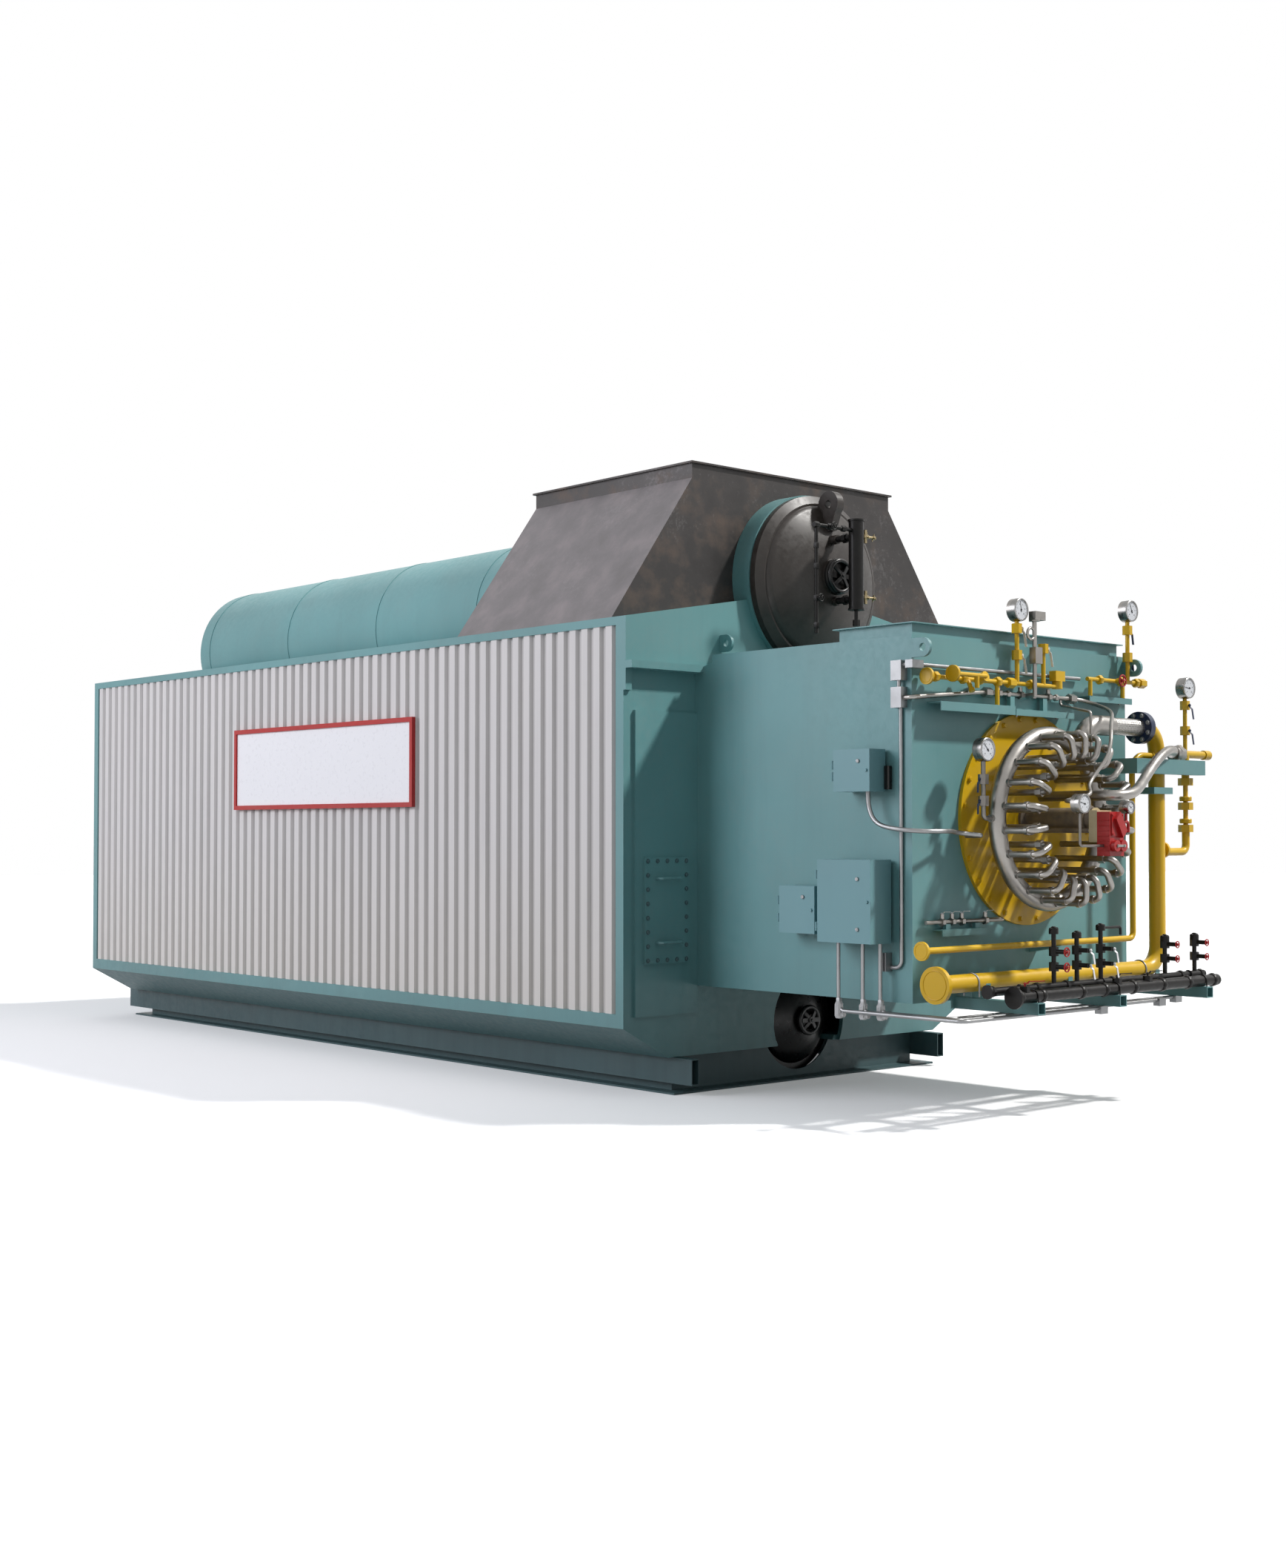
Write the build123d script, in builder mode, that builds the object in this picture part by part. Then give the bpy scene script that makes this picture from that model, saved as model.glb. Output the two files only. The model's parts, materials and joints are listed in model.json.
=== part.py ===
# Packaged industrial watertube boiler, in millimetres.
# +X is right as seen from the burner end, +Y runs to the rear and +Z is up.
# The origin is at floor level under the centre of the casing's front wall.
import os
from math import asin, cos, pi, sin, sqrt
from build123d import *

os.makedirs("parts", exist_ok=True)

# Casing
casing_half_width = 1600
casing_length = 6964
eave_height = 2883
roof_slope = 0.173
casing_bottom = 423
slope_width = 356
floor_half_width = casing_half_width - slope_width
panel_thickness = 30
wall_thickness = 100
fit_gap = 0.3

# Base
base_height = 226.5
base_front = -25
base_rear = 6930
base_plate = 12
web_setback = 126
web_half_width = floor_half_width - web_setback
flange_outer_reach = 94
flange_half_width = web_half_width + flange_outer_reach
flange_inner_reach = 60
end_web_setback = 125
end_flange_depth = 230
skid_tube_width = 61
skid_tube_bottom = 64
skid_tube_top = 221.5
skid_tube_wall = 6
skid_front_overhang = 119
skid_rear_overhang = 167
cross_beam_count = 4
cross_beam_flange = 120
cross_beam_pitch = 1400

# Cladding and trim on the long sides
cladding_ribs = 60
rib_depth = 25
cladding_sheet = 3
valley_share = 0.25
flank_share = 0.12
trim_bottom_bar = 48
trim_top_bar = 20
trim_end_bar = 40

# Front and rear wall dressings
raised_panel_thickness = 20
raised_panel_margin = 78
raised_panel_bottom = 487
raised_panel_top = 2322
access_door_thickness = 16
access_door_margin = 64
access_door_width = 358
access_door_bottom = 800
access_door_top = 1440
door_handle_length = 176
door_handle_reach = 45
door_handle_radius = 9
door_handle_inset = 127
ledge_bottom = 2570
ledge_height = 45
ledge_depth = 75
corner_bar_width = 50
corner_bar_bottom = 2440
casing_lug_x = 790
casing_lug_z = 2767
casing_lug_radius = 53
lug_thickness = 20
lug_hole_radius = 22

# Sign on the left side
sign_front = 2153
sign_rear = 4534
sign_bottom = 1764
sign_top = 2376
sign_depth = 28
sign_frame_width = 32
sign_board_thickness = 16

# Steam drum
drum_z = 3205
jacket_radius = 577
jacket_thickness = 30
roof_lap_share = 0.9
jacket_front = -30
jacket_rear = 6960
seam_first = 2830
seam_pitch = 1325
seam_count = 4
seam_width = 40
seam_height = 4
head_band_length = 45
head_band_radius = 567
head_radius = 505
head_start = -110
head_depth = 135
head_wall = 25
head_knuckle = 60
rear_head_depth = 130
head_lug_hole_y = -205
head_lug_hole_z = 3703
head_lug_radius = 85
head_lug_thickness = 60
head_lug_hole_radius = 26
head_lug_foot_z = 3535
nozzle_reach = 20
nozzle_lip = 9
band_lip = 10
manway_z_offset = 28
manway_boss_radius = 118
manway_boss_height = 8
manway_ring_radius = 104
manway_ring_tube = 14
column_y = -420
column_cap_lip = 5
column_cap_height = 12
column_union_length = 30
column_union_lip = 10
column_drain_height = 40
column_radius = 48
column_bottom = 3002
column_top = 3580
column_nozzle_top = 3472
column_nozzle_bottom = 3075
column_pipe_radius = 21
vent_pipe_radius = 12
vent_pipe_x = -370
vent_z = 3510
vent_low_z = 2830
vent_drain_z = 2900
gauge_cock_top = 3480
gauge_cock_bottom = 3090
cock_length = 130
cock_rod_radius = 8
cock_body_start = 15
cock_body_end = 60
cock_body_radius = 17
cock_stem_half_height = 42
cock_stem_radius = 12
cock_nut_length = 20
cock_nut_radius = 13

# Mud drum
mud_drum_z = 375
mud_drum_radius = 295
mud_drum_wall = 22
mud_drum_cut_radius = 325
mud_head_start = 165
mud_head_depth = 140
mud_head_knuckle = 60
mud_manway_radius = 78
mud_manway_rim = 22
mud_manway_crest = 32
mud_manway_dish = 14
mud_yoke_reach = 44

# Flue hopper
hopper_front = 116
hopper_rear = 1678
hopper_foot_inset = 8
hopper_foot_half_width = casing_half_width - hopper_foot_inset
hopper_taper = 664
hopper_neck_half_width = hopper_foot_half_width - hopper_taper
hopper_rise = 120
hopper_top = drum_z + jacket_radius + hopper_rise
hopper_neck_height = 93
hopper_shoulder = hopper_top - hopper_neck_height
hopper_plate = 12
stack_flange_overhang = 17
stack_flange_thickness = 12

# Windbox
windbox_shoulder = 588
windbox_half_width = casing_half_width - windbox_shoulder
windbox_length = 1730.5
windbox_bottom = 653
windbox_top = 2674
windbox_plate = 8
windbox_notch_depth = 151
windbox_notch_bottom = 2590
windbox_notch_top = 2625
burner_z = 1668
throat_radius = 520
inlet_margin = 42
inlet_half_width = windbox_half_width - inlet_margin
inlet_front = -1700
inlet_rear = -1160
inlet_collar_height = 71
inlet_flange_overhang = 28
inlet_flange_thickness = 6
windbox_lug_reach = 130
windbox_lug_low = 2550
windbox_lug_high = 2655

# Burner
burner_plate_radius = 616
burner_plate_thickness = 20
ring_standoff = 150
ring_radius = 482
ring_tube_radius = 50
spud_count = 22
spud_reach = 250
spud_inner_radius = 352
spud_tube_radius = 18
spud_bend = 38
spud_boss_radius = 24
spud_boss_height = 8
spud_collar_radius = 24
spud_collar_length = 22
spud_union_radius = 26
spud_union_length = 40
gauge_boss_radius = 21
gauge_boss_height = 15
gun_tube_radius = 62
gun_length = 470
gun_flange_radius = 95
gun_flange_thickness = 18
gun_ring_radius = 76
gun_ring_setback = 40
gun_block_half_width = 70
gun_block_depth = 54
gun_block_drop = 133
gun_block_rise = 46
igniter_radius = 14
igniter_drop = 68
actuator_depth = 85
actuator_right = 65
actuator_rise = 37
actuator_drop = 210
actuator_chamfer = 30
actuator_lever_depth = 25
actuator_lever_width = 40
actuator_drum_radius = 32
actuator_handle_drop = 18
actuator_handle_length = 105
actuator_handle_turn = 60
actuator_handle_radius = 9
gun_gauge_x = -290
gun_gauge_rise = 79
gun_gauge_radius = 55
small_gauge_x = 150
small_gauge_rise = 64
small_gauge_radius = 38
stem_radius = 8

# Main gas pipe
gas_pipe_radius = 50
gas_pipe_z = 763
gas_pipe_inset = 5
gas_pipe_left = gas_pipe_inset - windbox_half_width
gas_riser_offset = 78
gas_riser_x = windbox_half_width + gas_riser_offset
gas_inlet_z = 2226
gas_bend = 140
branch_stub = 10
branch_lip = 6
blind_disc_radius = 102
blind_disc_thickness = 26
joint_flange_offset = 195
joint_flange_x = gas_riser_x - joint_flange_offset
joint_flange_radius = 98
joint_flange_thickness = 22
joint_length = 295
joint_end_x = joint_flange_x - joint_length
joint_radius = 52
inlet_elbow_radius = 60
inlet_elbow_bend = 150
inlet_spud_place = 3

# Pilot gas pipe
pilot_radius = 18
pilot_z = 952
pilot_overhang = 118
pilot_left = -windbox_half_width - pilot_overhang
pilot_riser_offset = 260
pilot_riser_x = gas_riser_x - pilot_riser_offset
pilot_top = 2060
pilot_bend = 40
pilot_top_bend = 110
pilot_disc_radius = 52
pilot_disc_thickness = 14

# Upper gas train on the windbox front
train_y = -1790
train_z = 2448
train_left = -945
train_pipe_radius = 13
train_disc_radius = 47
train_disc_thickness = 16
train_valve_radius = 30
train_valve_height = 56
train_union_x = -240
train_riser_x = -150
left_valves = (2612, 2766)
second_disc_x = -802
second_pipe_end = -520
second_pipe_y = -1856
second_pipe_z = 2466
drip_leg_x = -600
drip_leg_length = 70
short_riser_x = 100
short_riser_top = 2692
solenoid_x = 235
solenoid_bottom = 2480
solenoid_height = 60
solenoid_half_width = 45
solenoid_half_depth = 24
left_post_x = -335
right_train_left = 534
right_train_right = 1127
right_train_z = 2512
right_riser_x = 955
right_valves = (2666, 2832)
right_loop_inset = 40
right_loop_length = 185
right_loop_y = -1835
right_loop_z = 2452
right_loop_radius = 21
right_stem_x = 820
upper_gauge_z = 2872
right_gauge_z = 2949
gauge_radius = 66
gauge_depth = 50
gauge_bezel = 8
gauge_glass = 6
ring_gauge_x = -605
ring_gauge_z = 2049
ring_gauge_valves = (1765, 1885)

# Shelves and brackets on the windbox front
shelf_front = -1830
shelf_plate = 6
left_shelf_left = -880
left_shelf_z = 2306
left_shelf_lip = 45
tube_shelf_left = -210
tube_shelf_right = 345
tube_shelf_z = 2290
tube_shelf_lip = 30
tube_posts = (-170, 140)
right_shelf_front = -1800
right_shelf_z = 2405
manifold_shelf_left = -838
manifold_shelf_right = -446
manifold_shelf_front = -1800
manifold_shelf_z = 1046
manifold_posts = (-757, -500)
pilot_bracket_left = 30
pilot_bracket_width = 70
pilot_bracket_height = 40
saddle_half_width = 20
clamp_wall = 20
clamp_z = 1825
clamp_height = 40

# Silver tube line with its pressure switch, hoses and lower manifold
tube_line_y = -1760
tube_line_z = 2386
tube_start_z = 2330
tube_union_x = -418
tube_line_right = 440
tube_line_radius = 13
tube_tees = (-300, -95, 172)
tube_tee_height = 45
switch_x = -35
switch_half_width = 32
lower_switch = (2565, 2660)
upper_switch = (2818, 2868)
siphon_radius = 33
loop_hose_radius = 11
loop_route = (
    (531, -1850, 2354), (225, -2170, 2189), (105, -2225, 2024), (-80, -2232, 1841), (-200, -2250, 1782),
)
thin_tube_x = 306
thin_tube_y = -1975
thin_tube_drop = 45
thin_tube_low_z = 1925
manifold_y = -1762
manifold_z = 1093
manifold_left = -938
manifold_right = -262
manifold_radius = 12
manifold_valves = (-799, -714, -628, -420)
manifold_valve_height = 45

# Conduits with their boxes
conduit_radius = 11
conduit_bend = 45
conduit_box_length = 66
conduit_foot_z = 845
# Each floor conduit: distance from the windbox side and Y at the main box, Y and X at its far end
floor_conduits = ((138, -1310, -2190, 50), (104, -1460, -2120, 740), (72, -1560, -2050, 1020))
junction_depth = 54
junction_front = -1700
junction_rear = -1625
lower_junction = (2275, 2389)
upper_junction = (2426, 2536)
upper_conduit_drop = 24
upper_conduit_right = 506
side_box_length = 96
foot_box_front = -1585
foot_box_depth = 40
foot_box_height = 80
flex_radius = 13
flex_start_x = -1100
flex_start_y = -1488
flex_route = ((-1100, -1660, 1613), (-1040, -1810, 1597), (-849, -1850, 1596), (-640, -1835, 1580))
flex_end_x = -572
flex_end_z = 1570

# Right riser and hose
far_riser_offset = 320
far_riser_x = gas_riser_x + far_riser_offset
far_riser_top = 2426
far_riser_low = 1470
far_pipe_radius = 24
far_neck_radius = 15
far_unions = (1615, 1754, 1906)
far_union_radius = 46
far_union_height = 46
far_valves = (2226, 2384)
far_stub_length = 260
far_cap_length = 60
hose_radius = 30
hose_union_z = 2078
hose_nut_radius = 50
hose_nut_length = 56
hose_route = (
    (1190, -1955, 2086), (1005, -2035, 2082), (728, -2105, 1974), (430, -2215, 1850), (200, -2268, 1803),
)
hose_low_z = 1800
hose_entry_x = 120
beam_z = 1990
beam_half_height = 45
beam_left_reach = 110
beam_left = pilot_riser_x - beam_left_reach
beam_right_reach = 50
beam_right = far_riser_x + beam_right_reach
beam_depth = 60

# Drain header and brackets
header_y = -2250
header_left = -789
header_right = 1180
header_radius = 33
header_disc_radius = 60
header_disc_thickness = 14
header_valves = (-700, 151, 454)
small_header_y = -2160
small_header_left = -900
small_header_radius = 22
small_header_rise = 65
small_disc_radius = 38
drain_riser_radius = 13
# Each drain riser: X and the height of its top
drain_risers = ((-320, 1057), (-106, 1026), (122, 1061), (770, 976), (1085, 974))
drain_cap_height = 30
drain_valves = (846, 930)
drain_valve_radius = 27
drain_valve_height = 50
drain_bonnet = 80
vent_riser = 2
vent_arm_length = 196
vent_arm_drop = 45
bracket_top = 672
bracket_size = 64
bracket_wall = 5
bracket_front = -2308
bracket_places = (-631, 127, 1016)
bracket_plate_height = 150
bracket_plate_half_width = 55

# Enclosures on the left face of the windbox
enclosure_sheet = 3
enclosure_standoff = 20
channel_inset = 20
channel_half_height = 30
door_thickness = 4
hinge_pin_radius = 4
hinge_barrel_radius = 8
hinge_clearance = 0.05
hinge_length = 50
hinge_end_gap = 1
hinge_stand = 0.5
hinge_inset = 60
hinge_ear = 12
latch_inset = 25
latch_radius = 9
latch_height = 8
# Each box: front and rear in Y, low and high in Z, depth
main_box = (-1595, -1200, 978, 1439, 168)
small_box = (-1122, -844, 1014, 1285, 108)
upper_box = (-1556, -1287, 1816, 2051, 128)

# Names for places that several pieces share
front_inner = panel_thickness
rear_wall_front = casing_length - panel_thickness
wall_outer = casing_half_width - panel_thickness
windbox_front = -windbox_length
plate_front = windbox_front - burner_plate_thickness
ring_y = plate_front - ring_standoff
gun_block_bottom = burner_z - gun_block_drop
gun_block_top = burner_z + gun_block_rise
igniter_z = burner_z - igniter_drop
actuator_top = burner_z + actuator_rise
actuator_bottom = burner_z - actuator_drop
actuator_handle_z = burner_z - actuator_handle_drop
gun_gauge_z = burner_z + gun_gauge_rise
small_gauge_z = burner_z + small_gauge_rise
spud_y = ring_y - spud_reach
base_middle = (base_front + base_rear) / 2
lower_slope = (casing_bottom - base_height) / (casing_half_width - floor_half_width)
slope_drop = panel_thickness * sqrt(1 + lower_slope**2)
roof_drop = panel_thickness * sqrt(1 + roof_slope**2)


def roof_z(x):
    """Height of the roof's upper surface at a distance x from the centre line."""
    return eave_height + roof_slope * (casing_half_width - abs(x))


def slope_z(x):
    """Height of the sloped lower panel's outer surface at x."""
    return casing_bottom - lower_slope * (casing_half_width - abs(x))


def save(name, *pieces):
    """Label a node and write it, as one solid or as a group of separate solids."""
    node = pieces[0] if len(pieces) == 1 else Compound(children=list(pieces))
    node.label = name
    export_step(node, f"parts/{name}.step")


def block(x_range, y_range, z_range):
    """Rectangular bar or plate between three pairs of limits."""
    with BuildPart() as bar:
        with BuildSketch(Plane.XY.offset(z_range[0])):
            with Locations(((x_range[0] + x_range[1]) / 2, (y_range[0] + y_range[1]) / 2)):
                Rectangle(x_range[1] - x_range[0], y_range[1] - y_range[0])
        extrude(amount=z_range[1] - z_range[0])
    return bar.part


def cross_section(points, y_front, y_rear):
    """Outline in X and Z, run along Y from y_front to y_rear."""
    with BuildPart() as run:
        with BuildSketch(Plane.XZ.offset(-y_rear)):
            with BuildLine():
                Polyline(*points, close=True)
            make_face()
        extrude(amount=y_rear - y_front)
    return run.part


def side_section(points, x_left, x_right):
    """Outline in Y and Z, run along X from x_left to x_right."""
    with BuildPart() as run:
        with BuildSketch(Plane.YZ.offset(x_left)):
            with BuildLine():
                Polyline(*points, close=True)
            make_face()
        extrude(amount=x_right - x_left)
    return run.part


def rod(start, end, radius):
    """Round bar between two points."""
    axis = Vector(*end) - Vector(*start)
    with BuildPart() as bar:
        with BuildSketch(Plane(start, z_dir=axis)):
            Circle(radius)
        extrude(amount=axis.length)
    return bar.part


def hexagon(start, end, radius):
    """Hexagonal nut between two points."""
    axis = Vector(*end) - Vector(*start)
    with BuildPart() as nut:
        with BuildSketch(Plane(start, z_dir=axis)):
            RegularPolygon(radius, 6)
        extrude(amount=axis.length)
    return nut.part


def pipe(points, radius, bend):
    """Pipe along straight runs joined by tangent bends."""
    with BuildPart() as run:
        with BuildLine() as path:
            if len(points) > 2:
                FilletPolyline(*points, radius=bend)
            else:
                Line(*points)
        with BuildSketch(Plane(path.line @ 0, z_dir=path.line % 0)):
            Circle(radius)
        sweep(path=path.line)
    return run.part


def hose(points, radius, first_direction, last_direction):
    """Flexible tube that runs smoothly through its points."""
    with BuildPart() as run:
        with BuildLine() as path:
            Spline(*points, tangents=(first_direction, last_direction))
        with BuildSketch(Plane(points[0], z_dir=first_direction)):
            Circle(radius)
        sweep(path=path.line)
    return run.part


def upright(x, y, z_low, z_high, radius):
    """Round bar standing on end."""
    return rod((x, y, z_low), (x, y, z_high), radius)


def valve(x, y, z, radius, height):
    """Hexagonal valve or union body on an upright pipe, about the height z."""
    return hexagon((x, y, z - height / 2), (x, y, z + height / 2), radius)


def cross_bar(x_left, x_right, y, z, radius):
    """Round bar from left to right."""
    return rod((x_left, y, z), (x_right, y, z), radius)


def cross_nut(x_left, x_right, y, z, radius):
    """Hexagonal nut or union body on a pipe that runs from left to right."""
    return hexagon((x_left, y, z), (x_right, y, z), radius)


def joined(*pieces):
    """One solid welded from several."""
    with BuildPart() as weld:
        for piece in pieces:
            add(piece)
    return weld.part


def cut(body, *tools):
    """A solid with others taken out of it."""
    with BuildPart() as rest:
        add(body)
        for tool in tools:
            add(tool, mode=Mode.SUBTRACT)
    return rest.part


def both_sides(piece):
    """A piece on the right side and its mirror image on the left."""
    return piece, mirror(piece, Plane.YZ)


def both_ends(piece):
    """A piece at the front of the base and its mirror image at the rear."""
    return piece, mirror(piece, Plane.XZ.offset(-base_middle))


def along_y(radius, y_front, y_rear, x=0, z=0):
    """Round bar parallel to the drums."""
    return rod((x, y_rear, z), (x, y_front, z), radius)


def turned(points, x=0, z=0):
    """Solid of revolution about a line along Y, from pairs of radius and Y."""
    with BuildPart() as body:
        with BuildSketch(Plane.XY.offset(z)):
            with BuildLine():
                Polyline(*[(x + radius, y) for radius, y in points], close=True)
            make_face()
        revolve(axis=Axis((x, 0, z), (0, 1, 0)))
    return body.part


def head_points(radius, knuckle, crown, spread, depth):
    """Rim, knuckle middle, knuckle end, crown middle and pole, as radius and height pairs."""
    middle = (spread + pi / 2) / 2
    return [
        (radius, 0),
        (radius - knuckle + knuckle * sin(middle), knuckle * cos(middle)),
        (crown * sin(spread), depth - crown + crown * cos(spread)),
        (crown * sin(spread / 2), depth - crown + crown * cos(spread / 2)),
        (0, depth),
    ]


def dished_head(radius, wall, knuckle, y_rim, depth, z, forward=True):
    """Drum head with a spherical crown and a knuckle: a shell that is open on the side of the drum."""
    sign = -1 if forward else 1
    crown = ((radius - knuckle) ** 2 + depth**2 - knuckle**2) / (2 * (depth - knuckle))
    spread = asin((radius - knuckle) / (crown - knuckle))
    outer = head_points(radius, knuckle, crown, spread, depth)
    inner = head_points(radius - wall, knuckle - wall, crown - wall, spread, depth - wall)
    with BuildPart() as head:
        with BuildSketch(Plane.XY.offset(z)):
            with BuildLine():
                for points in (outer, inner):
                    placed = [(r, y_rim + sign * height) for r, height in points]
                    ThreePointArc(*placed[:3])
                    ThreePointArc(*placed[2:])
                Line((0, y_rim + sign * depth), (0, y_rim + sign * (depth - wall)))
                Line((radius, y_rim), (radius - wall, y_rim))
            make_face()
        revolve(axis=Axis((0, 0, z), (0, 1, 0)))
    return head.part


def section_tube(x_range, z_range, wall, y_front, y_rear):
    """Rectangular tube along Y with open ends."""
    width = x_range[1] - x_range[0]
    height = z_range[1] - z_range[0]
    with BuildPart() as tube:
        with BuildSketch(Plane.XZ.offset(-y_rear)):
            with Locations(((x_range[0] + x_range[1]) / 2, (z_range[0] + z_range[1]) / 2)):
                Rectangle(width, height)
                Rectangle(width - 2 * wall, height - 2 * wall, mode=Mode.SUBTRACT)
        extrude(amount=y_rear - y_front)
    return tube.part


def frame_plate(outer_x, outer_y, inner_x, inner_y, z_range):
    """Flat rectangular ring lying in a level plane."""
    outer = block(outer_x, outer_y, z_range)
    return cut(outer, block(inner_x, inner_y, z_range))


def eye_plate(y_wall, reach, z, radius, x_range):
    """Lifting lug: a plate in Y and Z with a round end and an eye."""
    y_eye = y_wall - reach
    with BuildPart() as lug:
        with BuildSketch(Plane.YZ.offset(x_range[0])):
            with Locations((y_eye, z)):
                Circle(radius)
            with Locations(((y_eye + y_wall) / 2, z)):
                Rectangle(reach, 2 * radius)
            with Locations((y_eye, z)):
                Circle(lug_hole_radius, mode=Mode.SUBTRACT)
        extrude(amount=x_range[1] - x_range[0])
    return lug.part


# Base frame
flange_inner = web_half_width - base_plate - flange_inner_reach
end_web_front = base_front + end_web_setback
end_web_rear = end_web_front + base_plate
side_flange = block((flange_inner, flange_half_width), (base_front, base_rear), (0, base_plate))
side_web = block(
    (web_half_width - base_plate, web_half_width),
    (end_web_rear, base_rear - end_web_setback - base_plate),
    (base_plate, base_height),
)
save("base_side_beams", *both_sides(joined(side_flange, side_web)))

mud_drum_cut = along_y(mud_drum_cut_radius, base_front, end_web_rear, z=mud_drum_z)
end_web = block((-web_half_width, web_half_width), (end_web_front, end_web_rear), (base_plate, base_height))
end_flange_rear = base_front + end_flange_depth
end_flange = block((-flange_inner, flange_inner), (base_front, end_flange_rear), (0, base_plate))
save("base_end_beams", *both_ends(joined(cut(end_web, mud_drum_cut), end_flange)))

cross_beams = []
for index in range(cross_beam_count):
    beam_y = base_middle + (index - (cross_beam_count - 1) / 2) * cross_beam_pitch
    beam_web = block(
        (base_plate - web_half_width, web_half_width - base_plate),
        (beam_y - base_plate / 2, beam_y + base_plate / 2),
        (base_plate, base_height),
    )
    beam_flange = block(
        (-flange_inner, flange_inner),
        (beam_y - cross_beam_flange / 2, beam_y + cross_beam_flange / 2),
        (0, base_plate),
    )
    saddle = along_y(mud_drum_radius + fit_gap, beam_y - base_plate, beam_y + base_plate, z=mud_drum_z)
    cross_beams.append(joined(cut(beam_web, saddle), beam_flange))
save("base_cross_beams", *cross_beams)

skid_tube = section_tube(
    (web_half_width, web_half_width + skid_tube_width),
    (skid_tube_bottom, skid_tube_top),
    skid_tube_wall,
    base_front - skid_front_overhang,
    base_rear + skid_rear_overhang,
)
save("skid_tubes", *both_sides(skid_tube))

# Casing panels
floor_panel = cut(
    block(
        (mud_drum_radius / 2, floor_half_width),
        (front_inner, rear_wall_front),
        (base_height, base_height + panel_thickness),
    ),
    along_y(mud_drum_radius + fit_gap, front_inner, rear_wall_front, z=mud_drum_z),
)
save("casing_floor", *both_sides(floor_panel))

slope_points = [
    (casing_half_width, casing_bottom),
    (floor_half_width, base_height),
    (floor_half_width, base_height + slope_drop),
    (casing_half_width, casing_bottom + slope_drop),
]
save("lower_slopes", *both_sides(cross_section(slope_points, front_inner, rear_wall_front)))

wall_inner = wall_outer - wall_thickness
wall_points = [
    (wall_outer, slope_z(wall_outer) + slope_drop),
    (wall_outer, roof_z(wall_outer) - roof_drop),
    (wall_inner, roof_z(wall_inner) - roof_drop),
    (wall_inner, slope_z(wall_inner) + slope_drop),
]
save("side_walls", *both_sides(cross_section(wall_points, front_inner, rear_wall_front)))

end_points = [
    (-floor_half_width, base_height),
    (-casing_half_width, casing_bottom),
    (-casing_half_width, eave_height),
    (0, roof_z(0)),
    (casing_half_width, eave_height),
    (casing_half_width, casing_bottom),
    (floor_half_width, base_height),
]
jacket_hole = along_y(jacket_radius + fit_gap, jacket_front, casing_length, z=drum_z)
mud_drum_hole = along_y(mud_drum_cut_radius, 0, casing_length, z=mud_drum_z)
save("front_wall", cut(cross_section(end_points, 0, front_inner), jacket_hole, mud_drum_hole))
save("rear_wall", cut(cross_section(end_points, rear_wall_front, casing_length), jacket_hole, mud_drum_hole))

roof_inner = jacket_radius * roof_lap_share
roof_points = [
    (casing_half_width, eave_height),
    (casing_half_width, eave_height - roof_drop),
    (roof_inner, roof_z(roof_inner) - roof_drop),
    (roof_inner, roof_z(roof_inner)),
]
seam_hole = along_y(jacket_radius + seam_height + fit_gap, front_inner, rear_wall_front, z=drum_z)
save("roof_panels", *both_sides(cut(cross_section(roof_points, front_inner, rear_wall_front), seam_hole)))

# Ribbed cladding and its trim frames
cladding_front = front_inner + trim_end_bar
cladding_rear = rear_wall_front - trim_end_bar
trim_bottom = casing_bottom + slope_drop
trim_top = eave_height - roof_drop
cladding_bottom = trim_bottom + trim_bottom_bar
cladding_top = trim_top - trim_top_bar
rib_pitch = (cladding_rear - cladding_front) / cladding_ribs
valley_x = wall_outer + fit_gap + cladding_sheet
crest_x = wall_outer + rib_depth
wave = []
for index in range(cladding_ribs):
    rib_start = cladding_front + index * rib_pitch
    wave += [
        (valley_x, rib_start),
        (valley_x, rib_start + rib_pitch * valley_share),
        (crest_x, rib_start + rib_pitch * (valley_share + flank_share)),
        (crest_x, rib_start + rib_pitch * (1 - flank_share)),
    ]
wave.append((valley_x, cladding_rear))
with BuildPart() as cladding:
    with BuildSketch(Plane.XY.offset(cladding_bottom)):
        with BuildLine():
            Polyline(*wave, *[(x - cladding_sheet, y) for x, y in reversed(wave)], close=True)
        make_face()
    extrude(amount=cladding_top - cladding_bottom)
save("side_cladding", *both_sides(cladding.part))

with BuildPart() as trim_frame:
    with BuildSketch(Plane.YZ.offset(wall_outer)):
        with Locations(((front_inner + rear_wall_front) / 2, (trim_bottom + trim_top) / 2)):
            Rectangle(rear_wall_front - front_inner, trim_top - trim_bottom)
        with Locations(((cladding_front + cladding_rear) / 2, (cladding_bottom + cladding_top) / 2)):
            Rectangle(cladding_rear - cladding_front, cladding_top - cladding_bottom, mode=Mode.SUBTRACT)
    extrude(amount=panel_thickness)
save("side_trim", *both_sides(trim_frame.part))

# Raised panels, access doors, ledges and lugs on the front wall
windbox_side = windbox_half_width + fit_gap
panel_edge = casing_half_width - raised_panel_margin
raised_panel = block(
    (windbox_side, panel_edge), (-raised_panel_thickness, 0), (raised_panel_bottom, raised_panel_top)
)
save("front_panels", *both_sides(raised_panel))

door_face = -raised_panel_thickness - access_door_thickness
door_edge = panel_edge - access_door_margin
door_leaf = block(
    (door_edge - access_door_width, door_edge),
    (door_face, -raised_panel_thickness),
    (access_door_bottom, access_door_top),
)
handle_middle = door_edge - access_door_width / 2
handle_ends = (handle_middle - door_handle_length / 2, handle_middle + door_handle_length / 2)
door_handles = []
for handle_z in (access_door_bottom + door_handle_inset, access_door_top - door_handle_inset):
    grip_y = door_face - door_handle_reach
    grip = [
        (handle_ends[0], door_face, handle_z),
        (handle_ends[0], grip_y, handle_z),
        (handle_ends[1], grip_y, handle_z),
        (handle_ends[1], door_face, handle_z),
    ]
    door_handles.append(pipe(grip, door_handle_radius, 2 * door_handle_radius))
save("access_doors", *both_sides(joined(door_leaf, *door_handles)))

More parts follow.
